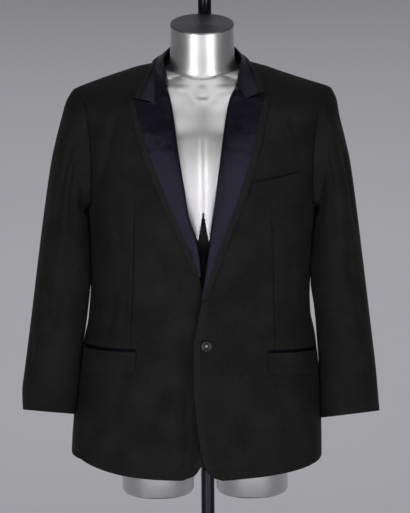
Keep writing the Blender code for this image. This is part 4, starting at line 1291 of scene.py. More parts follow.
@dataclass
class Sleeves:
    """Two-piece sleeves set into the armholes, with their long soft drag folds."""

    cloth: float = 0.0018
    squareness: float = 2.2
    seat: float = -0.0034  # how far the head is let into the armhole
    head_out: dict = table({Side.RIGHT: 0.003, Side.LEFT: 0.0028})
    # how far the first sections keep the armhole's shape
    spread: tuple[float, ...] = (0.31, 0.14, 0.04)
    front_share: float = 0.39
    back_share: float = 0.3
    seam_share: float = 0.0001
    top_columns: int = 128
    under_columns: int = 80
    rows: int = 150
    row_pull: float = 0.5
    column_pull: float = 0.6
    section_points: int = 240
    edge_points: int = 49
    under_points: int = 42
    girth: float = 0.42  # metres round the sleeve, for its creases
    smooth_head: Pair = (0.02, 0.14)  # where down the sleeve the creases start
    # at the armhole seam the cloth is drawn in: how deep, and how far down the sleeve
    drawn_in: float = 0.0013
    drawn_down: float = 0.026
    clearance: float = 0.0012  # from the body's side
    cleared: Pair = (1.15, 1.172)  # heights between which that ends
    # outer x, outer z, inner x, inner z, middle depth, half depth, tilt in degrees
    rings: dict = table({
        Side.RIGHT: (
            (0.2505, 1.364, 0.215, 1.161, 0.004, 0.068, 0),
            (0.2624, 1.329, 0.2152, 1.157, 0.004, 0.074, 0),
            (0.2745, 1.283, 0.215, 1.153, 0.003, 0.079, 0),
            (0.2839, 1.237, 0.2105, 1.148, 0.003, 0.0815, 0),
            (0.2972, 1.1445, 0.2085, 1.12, 0.001, 0.082, 0),
            (0.3093, 1.052, 0.2055, 1.052, -0.004, 0.078, 3),
            (0.3209, 0.96, 0.2165, 0.96, -0.012, 0.071, 7),
            (0.3332, 0.8675, 0.229, 0.8675, -0.022, 0.063, 11),
            (0.3393, 0.821, 0.2345, 0.819, -0.027, 0.058, 13.5),
            (0.3386, 0.7828, 0.2405, 0.7735, -0.031, 0.053, 15.5),
        ),
        Side.LEFT: (
            (0.246, 1.364, 0.21, 1.161, 0.004, 0.068, 0),
            (0.2539, 1.329, 0.2098, 1.157, 0.004, 0.074, 0),
            (0.2657, 1.283, 0.2092, 1.153, 0.003, 0.079, 0),
            (0.2749, 1.237, 0.2045, 1.148, 0.003, 0.082, 0),
            (0.2866, 1.1445, 0.2012, 1.12, 0.001, 0.083, 0),
            (0.2972, 1.052, 0.1945, 1.052, -0.004, 0.079, 3),
            (0.3077, 0.96, 0.206, 0.96, -0.012, 0.071, 7),
            (0.3182, 0.8675, 0.212, 0.8675, -0.022, 0.063, 11),
            (0.3222, 0.821, 0.215, 0.819, -0.027, 0.058, 13.5),
            (0.3257, 0.7765, 0.2155, 0.7632, -0.031, 0.054, 15.5),
        ),
    })
    # lines in (metres round from the outer line, forwards above 0; height)
    creases: dict = table({
        Side.RIGHT: drawn(
            (0.068, 1.37, 0.08, 1.09, 0.0105, 0.0056, 0.003),
            (0.105, 1.29, 0.12, 1.13, 0.012, 0.004, -0.004),
            (0.115, 1.26, 0.098, 1.02, 0.012, 0.0042, 0.005),
            (0.06, 1.05, 0.085, 0.93, 0.013, 0.0045, 0.004),
            (0.115, 1.02, 0.085, 0.95, 0.008, 0.0035, 0.002),
            (0.04, 0.93, 0.065, 0.82, 0.011, 0.0032, -0.003),
            (-0.04, 1.32, -0.052, 1.1, 0.013, 0.0054, 0.004),
            (-0.085, 1.26, -0.07, 1.03, 0.014, 0.0051, -0.005),
            (-0.11, 1.05, -0.06, 0.99, 0.01, 0.0045, 0.003),
            (-0.07, 0.95, -0.05, 0.82, 0.013, 0.0035, 0.003),
        ),
        Side.LEFT: drawn(
            (0.042, 1.305, 0.046, 1.12, 0.01, 0.0051, -0.003),
            (0.07, 1.15, 0.074, 1.02, 0.01, 0.0046, 0.003),
            (0.094, 1.31, 0.1, 1.1, 0.0115, 0.0056, 0.004),
            (0.07, 1.06, 0.05, 0.94, 0.013, 0.0042, -0.004),
            (0.118, 1.01, 0.088, 0.96, 0.0085, 0.0035, 0.002),
            (0.065, 0.92, 0.045, 0.81, 0.012, 0.0032, 0.003),
            (-0.045, 1.31, -0.055, 1.12, 0.014, 0.0051, -0.004),
            (-0.08, 1.25, -0.078, 1.05, 0.013, 0.0048, 0.004),
            (-0.105, 1.06, -0.065, 1.01, 0.01, 0.0042, -0.003),
            (-0.06, 0.94, -0.045, 0.83, 0.012, 0.0035, 0.003),
        ),
    })

    def oval(self, side: Side, ring: tuple) -> Array:
        """A sleeve section, from its outer line round by the front.

        Args:
            side: the wearer's side.
            ring: a row of the table of rings.

        Returns:
            The section's points.
        """
        out_x, out_z, in_x, in_z, middle_y, half_depth, tilt = ring
        outer = np.array([side.value * out_x, middle_y, out_z])
        inner = np.array([side.value * in_x, middle_y, in_z])
        turn = np.linspace(0, 2 * np.pi, self.section_points, endpoint=False)
        power = 2 / self.squareness
        across = np.sign(np.cos(turn)) * np.abs(np.cos(turn)) ** power
        forward = -np.sign(np.sin(turn)) * np.abs(np.sin(turn)) ** power * half_depth
        points = (outer + inner) / 2 + (outer - inner) / 2 * across[:, None]
        points[:, 1] += forward
        points[:, 2] -= forward * math.tan(math.radians(tilt))
        return points

    def clear_of_body(self, side: Side, points: Array) -> Array:
        """The sleeve's points, pressed out where they would reach into the body's side.

        Args:
            side: the wearer's side.
            points: the sleeve's points.

        Returns:
            The pressed points.
        """
        half, shift, front, back, square = BODY.girth(points[..., 2])
        reach = np.where(points[..., 1] < 0, front, back) + self.clearance
        share = np.minimum(np.abs(points[..., 1]) / reach, 1)
        limit = shift * side.value + (half + self.clearance) * (1 - share**square) ** (1 / square)
        short = np.maximum(limit - side.value * points[..., 0], 0)
        pressed = points.copy()
        pressed[..., 0] += side.value * short * (1 - ramp(points[..., 2], *self.cleared))
        return pressed

    def hole(self, side: Side) -> Array:
        """The armhole's edge.

        Args:
            side: the wearer's side.

        Returns:
            Points from the shoulder tip down the front and up the back.
        """

        def up_edge(rows: tuple, face: int, shares: Array) -> Array:
            """One edge of the armhole, spaced by the share of its climb."""
            z = mix(rows[0][0], rows[-1][0], np.sin(shares * np.pi / 2))
            x = side.value * Curve(rows).at(z) + BODY.girth(z)[1]
            return BODY.skin(x, np.minimum(z, BODY.seam_height(x)), face)

        shares = np.linspace(0, 1, self.edge_points)
        under = Sides(columns=self.under_points, rows=9).patch(side).points[-1, 1:-1]
        front = up_edge(BODY.armhole_front, -1, shares[::-1])
        back = up_edge(BODY.armhole_back, 1, shares[:-1])
        return np.concatenate([front, under, back])

    def patch(self, side: Side, first: float, last: float, columns: int) -> Patch:
        """The outer face of one part of a sleeve.

        Args:
            side: the wearer's side.
            first: the share of the girth where the part starts.
            last: the share where it ends.
            columns: how many columns it has.

        Returns:
            The patch, its rows from the armhole down.
        """
        u = mix(first, last, dense(columns, self.column_pull))
        ovals = [self.oval(side, ring) for ring in self.rings[side]]
        hole = self.hole(side)
        start = around(hole, u)
        along = around(ovals[2], u) - start
        along *= self.seat / np.linalg.norm(along, axis=1, keepdims=True)
        on_top = (np.maximum(np.cos(2 * np.pi * u), 0) ** 2)[:, None]
        outward = np.array([side.value * self.head_out[side], 0, 0])
        rings = [start + mix(along, outward, on_top)]
        for k, oval in enumerate(ovals):
            ring = around(oval, u)
            if k < len(self.spread):
                ring = mix(ring, start - hole.mean(0) + oval.mean(0), self.spread[k])
            rings.append(ring)
        v = dense(self.rows, self.row_pull)
        points = through(np.stack(rings), v * len(ovals))
        metres = np.broadcast_to(u * self.girth, points.shape[:2])
        lift = sum(crease.lift(metres, points[..., 2]) for crease in self.creases[side])
        lift = lift * ramp(v[:, None], *self.smooth_head)
        sewn = -self.drawn_in * (1 - ramp(v[:, None], 0.0, self.drawn_down))
        raised = Patch(points, side.value).raised(lift + sewn)
        return Patch(self.clear_of_body(side, raised.points), side.value)

    def build(self, wool: Material) -> None:
        """Makes the top and under part of both sleeves.

        Args:
            wool: the cloth's finish.
        """
        front, back, gap = self.front_share, self.back_share, self.seam_share
        for side in Side:
            hand = side.hand
            top = self.patch(side, gap - back, front - gap, self.top_columns)
            under = self.patch(side, front + gap, 1 - back - gap, self.under_columns)
            for word, patch, flat, area in (
                ("top", top, (0.36, 0.63), 0.155), ("under", under, (0.19, 0.525), 0.054),
            ):
                shell = patch.edged(*SEAM, "lrb").shell(f"{hand}_sleeve_{word}", self.cloth, wool)
                piece = seat(shell, "wool", f"sleeve_{word}_{hand}")


# Lapels and collar


@dataclass
class Lapels:
    """Peaked lapels rolled out of the fronts, and the shared rows that the collar starts from."""

    thick: float = 0.002
    ribbon: float = 0.0008
    border: float = 0.0115
    # where the collar seam turns, as a share of the width, and how deep it dips
    gorge: dict = table({
        Side.RIGHT: (0.19, 0.0218), Side.LEFT: (0.165, 0.0163),
    })
    # flat width, length and area of the cloth that shows
    cut: dict = table({
        Side.RIGHT: (0.12, 0.368, 0.0225), Side.LEFT: (0.104, 0.409, 0.0256),
    })
    middle_lift: float = 0.005
    corner_lift: float = 0.0004  # how much more it stands off where the collar seam turns
    edge_lift: float = 0.0024
    # a point between that turn and the edge: shares of the width and of the way to the edge's lift
    outer_share: float = 0.62
    outer_fall: float = 0.45
    border_from: float = 0.45  # the ribbon keeps outside this share of the width
    gorge_down: float = 0.28  # how far down the lapel the collar seam's dip is felt
    rows_down: int = 110
    row_pull: float = 0.6
    columns: int = 70
    # a soft bend across both lapels: depth, height, half height, and where across it begins
    bend: tuple[float, float, float, float] = (0.0016, 1.113, 0.005, 0.03)
    fold: tuple = (
        (0.008, -0.0046), (0.0034, -0.0043), (0.0014, -0.002), (0.0014, 0.0018), (0.0038, 0.0046),
        (0.0085, 0.0055),
    )
    # roll z, roll x, edge z, edge x
    rows: dict = table({
        Side.RIGHT: (
            (1.415, -0.065, 1.391, -0.1367), (1.394, -0.0585, 1.3624, -0.1302),
            (1.3598, -0.0525, 1.325, -0.119), (1.3172, -0.047, 1.281, -0.1056),
            (1.2734, -0.0405, 1.23, -0.0849), (1.2291, -0.0335, 1.187, -0.0665),
            (1.1839, -0.0268, 1.145, -0.048), (1.1383, -0.0122, 1.108, -0.0322),
            (1.1, -0.0056, 1.083, -0.0222), (1.069, -0.0033, 1.067, -0.0147),
        ),
        Side.LEFT: (
            (1.4152, 0.0613, 1.3938, 0.1249), (1.396, 0.05, 1.368, 0.1178),
            (1.36, 0.0418, 1.33, 0.1101), (1.3173, 0.0355, 1.284, 0.0988),
            (1.2736, 0.0297, 1.239, 0.0843), (1.229, 0.0238, 1.194, 0.07),
            (1.184, 0.0175, 1.152, 0.0527), (1.1384, 0.0112, 1.112, 0.0365),
            (1.0962, 0.005, 1.074, 0.0232), (1.06, -0.0003, 1.046, 0.0128),
            (1.029, -0.0067, 1.0255, 0.0042),
        ),
    })

    def row(self, side: Side, share: Value) -> tuple:
        """Roll height and across, edge height and across, this share of the way down."""
        table = self.rows[side]
        curve = Curve(tuple((k, *row) for k, row in enumerate(table)))
        return tuple(curve.at(np.asarray(share) * (len(table) - 1), column) for column in range(4))

    def width(self, side: Side, share: Value) -> Array:
        """The lapel's width, across from the roll line."""
        roll_z, roll_x, edge_z, edge_x = self.row(side, share)
        return np.hypot(edge_x - roll_x, edge_z - roll_z)

    def place(self, side: Side, share: Value, across: Array, lift: Array) -> Array:
        """Points over the front.

        Args:
            side: the wearer's side.
            share: how far down the lapel they are.
            across: how far across from the roll line.
            lift: how far off the front.

        Returns:
            One point for each place.
        """
        roll_z, roll_x, edge_z, edge_x = self.row(side, share)
        width = self.width(side, share)
        gorge_share, gorge_dip = self.gorge[side]
        turn = mix(self.fold[-1][0], width, gorge_share) / width
        part = across / width
        dip = np.clip(np.where(part < turn, part / turn, (1 - part) / (1 - turn)), 0, 1)
        dip = dip * gorge_dip * np.maximum(1 - np.asarray(share) / self.gorge_down, 0) ** 2
        x = roll_x + (edge_x - roll_x) * part
        z = roll_z + (edge_z - roll_z) * part - dip
        base = BODY.overlap_lift(x, z) if side is Side.LEFT else 0.0
        return BODY.skin(x, z, -1, base + lift)

    def profile(self, side: Side, width: float) -> tuple:
        """The lapel's middle line, from inside the roll to its edge.

        Args:
            side: the wearer's side.
            width: the lapel's width there.

        Returns:
            Rows of how far across and how far off the front.
        """
        start, _ = self.fold[-1]
        outer_lift = mix(self.middle_lift, self.edge_lift, self.outer_fall)
        return self.fold + (
            (mix(start, width, self.gorge[side][0]), self.middle_lift + self.corner_lift),
            (mix(start, width, self.outer_share), outer_lift),
            (width, self.edge_lift),
        )

    def patch(self, side: Side) -> Patch:
        """The outer face of one lapel.

        Args:
            side: the wearer's side.

        Returns:
            The patch, its rows from the collar down and its columns from the roll out.
        """
        u, lines = np.linspace(0, 1, self.columns), []
        for share in dense(self.rows_down, self.row_pull):
            profile = self.profile(side, float(self.width(side, share)))
            curve = Curve(tuple((k, *roll) for k, roll in enumerate(profile)))
            at = u * (len(profile) - 1)
            lines.append(self.place(side, share, curve.at(at), curve.at(at, 1)))
        points = np.stack(lines)
        deep, height, half, across = self.bend
        bend = deep * np.exp(-(((points[..., 2] - height) / half) ** 2))
        bend = bend * ramp(np.abs(points[..., 0]), 0.0, across)
        return Patch(points, -side.value).raised(self.thick / 2 - bend)

    def border_patch(self, side: Side) -> Patch:
        """The outer face of the ribbon along one lapel's edge.

        Args:
            side: the wearer's side.

        Returns:
            The patch, its rows from the collar down.
        """
        u, lines = np.linspace(0, 1, 9), []
        for share in dense(self.rows_down, self.row_pull):
            width = float(self.width(side, share))
            across = mix(max(width - self.border, width * self.border_from), width, u)
            lifts = Curve(self.profile(side, width)[len(self.fold) - 1:]).at(across)
            lines.append(self.place(side, share, across, lifts))
        return Patch(np.stack(lines), -side.value).raised(self.thick / 2 + self.ribbon)

    def build(self, satin: Material, grosgrain: Material) -> None:
        """Makes both lapels and their ribbons.

        Args:
            satin: the facing's finish.
            grosgrain: the ribbon's finish.
        """
        for side in Side:
            hand = side.hand
            lapel = self.patch(side).shell(f"{hand}_lapel", self.thick, satin)
            seat(lapel, "satin", f"lapel_{hand}")
            strip = self.border_patch(side).shell(f"{hand}_lapel_ribbon", self.ribbon, grosgrain)
            seat(strip, "ribbon", f"lapel_ribbon_{hand}")


@dataclass
class Collar:
    """The collar, stand and leaf in one folded piece, from gorge to gorge."""

    lapels: Lapels
    thick: float = 0.002
    ribbon: float = 0.0008
    lay_gap: float = 0.0003
    gap: Triple = (0.0, -0.0006, 0.0026)  # from the lapel's upper edge
    tip_rise: float = 0.0012  # how much further its tips stand off than the lapels' edges
    fold: tuple = (
        (0.0022, -0.0085), (0.0016, -0.0045), (0.0012, -0.0015), (0.0014, 0.0018), (0.0038, 0.0046),
    )
    # just inside and outside the fold: how far away, and how far below it
    fold_inner: Pair = (0.0028, 0.003)
    fold_outer: Pair = (0.003, 0.0026)
    leaf_shares: Pair = (0.36, 0.7)
    leaf_crown: float = 0.0004
    fold_share: float = 4 / 7  # how far across the section the fold's outer side lies
    columns: int = 260
    rows: int = 64
    leaf_rows: int = 40
    ends: dict = table({
        Side.RIGHT: (-0.1248, 1.3928), Side.LEFT: (0.1122, 1.4005),
    })
    # fold, base and edge of the section on one side, and its share of that side's narrowing
    stations: tuple = (
        ((0.07, -0.05, 1.4345), (0.0662, -0.049, 1.426), (0.106, -0.031, 1.4272), 0.5),
        ((0.0733, -0.015, 1.4465), (0.069, -0.014, 1.432), (0.0955, 0.004, 1.4342), 1.0),
        ((0.0712, 0.02, 1.449), (0.0686, 0.019, 1.432), (0.092, 0.04, 1.433), 1.0),
        ((0.06, 0.053, 1.4545), (0.0575, 0.047, 1.43), (0.0835, 0.076, 1.4256), 0.8),
        ((0.0425, 0.0805, 1.456), (0.0398, 0.073, 1.4295), (0.06, 0.1065, 1.414), 0.3),
        ((0.02, 0.0948, 1.4575), (0.019, 0.0866, 1.4292), (0.0285, 0.1165, 1.4105), 0.0),
        ((0.0, 0.0978, 1.458), (0.0, 0.0897, 1.4292), (0.0, 0.1185, 1.41), 0.0),
    )
    narrow: dict = table({-1: 0.002, 1: 0.007})

    def end_section(self, side: Side) -> list[Array]:
        """The section at a front end, which follows the lapel's upper edge.

        Args:
            side: the wearer's side.

        Returns:
            Its points from the stand to the leaf's edge.
        """
        gap, lapels = np.array(self.gap), self.lapels
        points = [lapels.place(side, 0.0, *roll) + gap for roll in self.fold]
        turn = mix(lapels.fold[-1][0], float(lapels.width(side, 0.0)), lapels.gorge[side][0])
        corner = lapels.place(side, 0.0, turn, lapels.middle_lift + lapels.corner_lift) + gap
        x, z = (np.array(value) for value in self.ends[side])
        tip = BODY.skin(x, z, -1, lapels.edge_lift + self.tip_rise)
        return points + [corner, (corner + tip) / 2, tip]

    def section(self, sign: int, station: tuple) -> list[Array]:
        """The section at a station.

        Args:
            sign: the side's sign.
            station: a row of the table of stations.

        Returns:
            Its points from the stand over the fold to the leaf's edge.
        """
        fold, base, edge = (np.array([sign * p[0], p[1], p[2]]) for p in station[:3])
        edge[0] -= sign * self.narrow[sign] * station[3]
        out = (edge - fold) * (1, 1, 0)
        out /= np.linalg.norm(out)
        up = np.array([0.0, 0.0, 1.0])
        inner = fold - out * self.fold_inner[0] - up * self.fold_inner[1]
        outer = fold + out * self.fold_outer[0] - up * self.fold_outer[1]
        leaf = [mix(outer, edge, share) + up * self.leaf_crown for share in self.leaf_shares]
        return [base, (base + inner) / 2, inner, fold, outer, *leaf, edge]

    def surface(self, u: Array, v: Array) -> Array:
        """Points of the middle surface.

        Args:
            u: shares of the way round the neck.
            v: shares of the way from the stand to the leaf's edge.

        Returns:
            A row of points for each v.
        """
        left = [self.end_section(Side.RIGHT)] + [self.section(-1, row) for row in self.stations]
        right = [self.end_section(Side.LEFT)] + [self.section(1, row) for row in self.stations[:-1]]
        sections = np.array([[np.ravel(p) for p in section] for section in left + right[::-1]])
        round_neck = through(sections, u * (len(sections) - 1))
        return through(np.swapaxes(round_neck, 0, 1), v * (round_neck.shape[1] - 1))

    def build(self, satin: Material, grosgrain: Material) -> None:
        """Makes the collar and the ribbon along its edge.

        Args:
            satin: the facing's finish.
            grosgrain: the ribbon's finish.
        """
        u = np.linspace(0, 1, self.columns)
        whole = Patch(self.surface(u, np.linspace(0, 1, self.rows)), 1)
        collar = whole.raised(self.thick / 2).shell("collar_cloth", self.thick, satin)
        seat(collar, "satin", "collar")
        leaf = self.surface(u, np.linspace(self.fold_share, 1, self.leaf_rows))
        climb = Patch(leaf, 1).spans()[1]
        wanted = climb[-1] - self.lapels.border * (1 - np.linspace(0, 1, 9)[:, None])
        columns = [read(leaf[:, j], climb[:, j], wanted[:, j]) for j in range(len(u))]
        lift = self.thick / 2 + self.lay_gap + self.ribbon
        strip = Patch(np.stack(columns, axis=1), 1).raised(lift)
        ribbon = strip.shell("collar_edge_ribbon", self.ribbon, grosgrain)
        seat(ribbon, "ribbon", "collar_ribbon")


# What is sewn on the fronts


@dataclass
class FrontRibbons:
    """The ribbon down each front's free edge, round the start of its lower corner."""

    fronts: Fronts
    ribbon: float = 0.0008
    border: float = 0.0115
    lay_gap: float = 0.0003
    inset: float = 0.0004  # from the front's edge
    slope_step: float = 0.004
    ends: dict = table({
        Side.LEFT: (0.696, 1.0195), Side.RIGHT: (0.6985, 0.96),
    })
    lengths: dict = table({Side.LEFT: 0.325, Side.RIGHT: 0.26})

    def patch(self, side: Side) -> Patch:
        """The ribbon's outer face.

        Args:
            side: the wearer's side.

        Returns:
            The patch, its rows from the hem up and its columns from the edge in.
        """
        edge = Curve(BODY.upper_edge if side is Side.LEFT else BODY.under_edge)
        v, u = np.linspace(0, 1, 130)[:, None], np.linspace(0, 1, 9)[None, :]
        z, step = mix(*self.ends[side], v), self.slope_step
        slope = (edge.at(z + step) - edge.at(z - step)) / (2 * step)
        length = np.hypot(slope, 1)
        inward = mix(self.inset, self.border, u)
        x_in, z_in = edge.at(z) + inward / length, z - inward * slope / length
        points = BODY.skin(side.value * x_in, z_in, -1, self.fronts.lie(side, x_in, z_in))
        return Patch(points, side.value).raised(self.lay_gap + self.ribbon)

    def build(self, grosgrain: Material) -> None:
        """Makes both ribbons.

        Args:
            grosgrain: the ribbon's finish.
        """
        for side in Side:
            hand = side.hand
            strip = self.patch(side).shell(f"{hand}_front_ribbon", self.ribbon, grosgrain)
            seat(strip, "ribbon", f"front_ribbon_{hand}")


@dataclass
class Pockets:
    """Jetted side pockets with round-cornered flaps, and the breast welt."""

    fronts: Fronts
    cloth: float = 0.0018
    jet_thick: float = 0.0008
    jet_height: float = 0.0055
    corner: float = 0.01
    length: float = 0.12
    columns: int = 60
    foot: float = 0.998  # just short of the drop, where the corners' arcs would close
    flap_edge: Pair = (0.003, 0.0014)  # how far in it is pressed, and how deep
    flap_out: float = 0.0032
    jet_out: float = 0.0006
    jet_gap: float = 0.0003  # between a flap's top and its jet
    flat_widths: dict = table({Side.RIGHT: 0.14, Side.LEFT: 0.128})
    lie_range: Pair = (-0.001, 0.004)  # how much of the front's creases they follow
    # front x, front z, back x, back z, drop
    mouths: dict = table({
        Side.RIGHT: (-0.1269, 0.9209, -0.2195, 0.908, 0.043),
        Side.LEFT: (0.1185, 0.9164, 0.2035, 0.901, 0.041),
    })
    welt: tuple[float, float, float, float] = (0.091, 1.243, 0.1731, 1.2535)
    welt_depth: float = 0.0285
    welt_slant: float = 0.006
    welt_edge: Pair = (0.002, 0.0006)
    welt_out: float = 0.0024

    def band(self, side: Side, above: float, below: float, corner: float, rows: int) -> Patch:
        """A band along the pocket mouth.

        Args:
            side: the wearer's side.
            above: how far it reaches above the mouth.
            below: how far it reaches below the mouth.
            corner: the radius of its lower corners.
            rows: how many rows it has.

        Returns:
            The patch, its rows from the top edge down.
        """
        front_x, front_z, back_x, back_z, _ = self.mouths[side]
        u = np.linspace(0, 1, self.columns)[None, :]
        v = np.linspace(0, self.foot, rows)[:, None]
        line = mix(front_z, back_z, u)
        z = mix(line + above, line - below, v)
        half, shift = BODY.girth(line)[:2]
        s = side.value
        shares = (np.minimum(s * (x - shift) / half, 0.9999) for x in (front_x, back_x))
        first, last = (BODY.angle_of(share, line, -1) for share in shares)
        short = np.maximum(v * (above + below) - (above + below - corner), 0)
        inset = corner - np.sqrt(np.maximum(corner**2 - short**2, 0)) if corner else 0 * short
        share = inset / self.length
        points = BODY.flank(s, mix(first, last, mix(share, 1 - share, u)), z)
        lie = self.fronts.lie(side, np.abs(points[..., 0]), points[..., 2])
        return Patch(points, -s).raised(np.clip(lie, *self.lie_range))

    def welt_patch(self) -> Patch:
        """The outer face of the breast welt.

        Returns:
            The patch, its rows from the top edge down.
        """
        u, v = np.linspace(0, 1, self.columns)[None, :], np.linspace(0, 1, 24)[:, None]
        x0, z0, x1, z1 = self.welt
        x = mix(x0, x1, u) - self.welt_slant * v * (1 - u)
        z = mix(z0, z1, u) - self.welt_depth * v
        points = BODY.skin(x, z, -1, self.fronts.lie(Side.LEFT, x, z))
        return Patch(points, -1).edged(*self.welt_edge, "lrbt").raised(self.welt_out + self.cloth)

    def build(self, wool: Material, satin: Material) -> None:
        """Makes the flaps, the jets above them and the breast welt.

        Args:
            wool: the cloth's finish.
            satin: the jets' finish.
        """
        for side in Side:
            hand = side.hand
            flap = self.band(side, 0.0, self.mouths[side][4], self.corner, 44)
            flap = flap.edged(*self.flap_edge, "lrt").raised(self.flap_out + self.cloth)
            flap = flap.shell(f"{hand}_pocket_flap", self.cloth, wool)
            seat(flap, "wool", f"flap_{hand}")
            jet = self.band(side, self.jet_height, -self.jet_gap, 0.0, 7)
            jet = jet.raised(self.jet_out + self.jet_thick)
            jet = jet.shell(f"{hand}_jet", self.jet_thick, satin)
            seat(jet, "satin", f"pocket_jet_{hand}")
        welt = self.welt_patch().shell("breast_pocket_welt", self.cloth, wool)
        seat(welt, "wool", "breast_welt")


@dataclass
class Button:
    """A dished button with an inlaid metal ring and a small plain centre boss."""

    fronts: Fronts
    x: float = 0.0042
    z: float = 0.9373
    radius: float = 0.01
    thick: float = 0.0034
    shank: float = 0.0018
    shank_radius: float = 0.0022
    shank_gap: float = 0.0009  # from the cloth to where the shank starts to count
    ring_radius: float = 0.0082
    ring_width: float = 0.0006
    groove: float = 0.0009
    dish: float = 0.0014
    boss_radius: float = 0.0026

    def build(self, resin: Material, metal: Material) -> None:
        """Makes the button, its ring and its boss.

        Args:
            resin: the button's finish.
            metal: the ring's and the boss's finish.
        """
        x, z = np.array(self.x), np.array(self.z)
        cloth = Vector(BODY.skin(x, z, -1, self.fronts.lie(Side.LEFT, x, z)).ravel())
        out = Vector((BODY.skin(x, z, -1, 0.01) - BODY.skin(x, z, -1)).ravel()).normalized()
        back = self.shank + self.shank_gap
        front, wide, axis = back + self.thick, self.radius, 0.0001
        inner, outer = (self.ring_radius + way * self.ring_width / 2 for way in (-1, 1))
        body = (
            (axis, 0.0), (self.shank_radius, 0.0), (self.shank_radius, back), (wide - 0.0012, back),
            (wide - 0.0003, back + 0.0005), (wide, back + 0.0014),
            (wide, front - 0.001), (wide - 0.0003, front - 0.0003), (outer, front),
            (outer, front - self.groove), (inner, front - self.groove), (inner, front - 0.0004),
            (0.006, front - 0.0012), (0.003, front - self.dish), (axis, front - self.dish),
        )
        ring = (
            (inner, front - self.groove), (outer, front - self.groove), (outer, front - 0.0001),
            (self.ring_radius, front + 0.0002), (inner, front - 0.0001),
        )
        boss = (
            (axis, front - self.dish), (self.boss_radius, front - self.dish),
            (self.boss_radius, front - 0.0009), (0.0019, front - 0.0003), (axis, front - 0.0001),
        )
        seat(turned("jacket_button", body, cloth, out, 64, resin), "button", "button")
        inlay = turned("button_inlay", ring, cloth, out, 64, metal, looped=True)
        seat(inlay, "button_metal", "button_ring")
        seat(turned("button_centre", boss, cloth, out, 32, metal), "button_metal", "button_boss")


# Form and stand


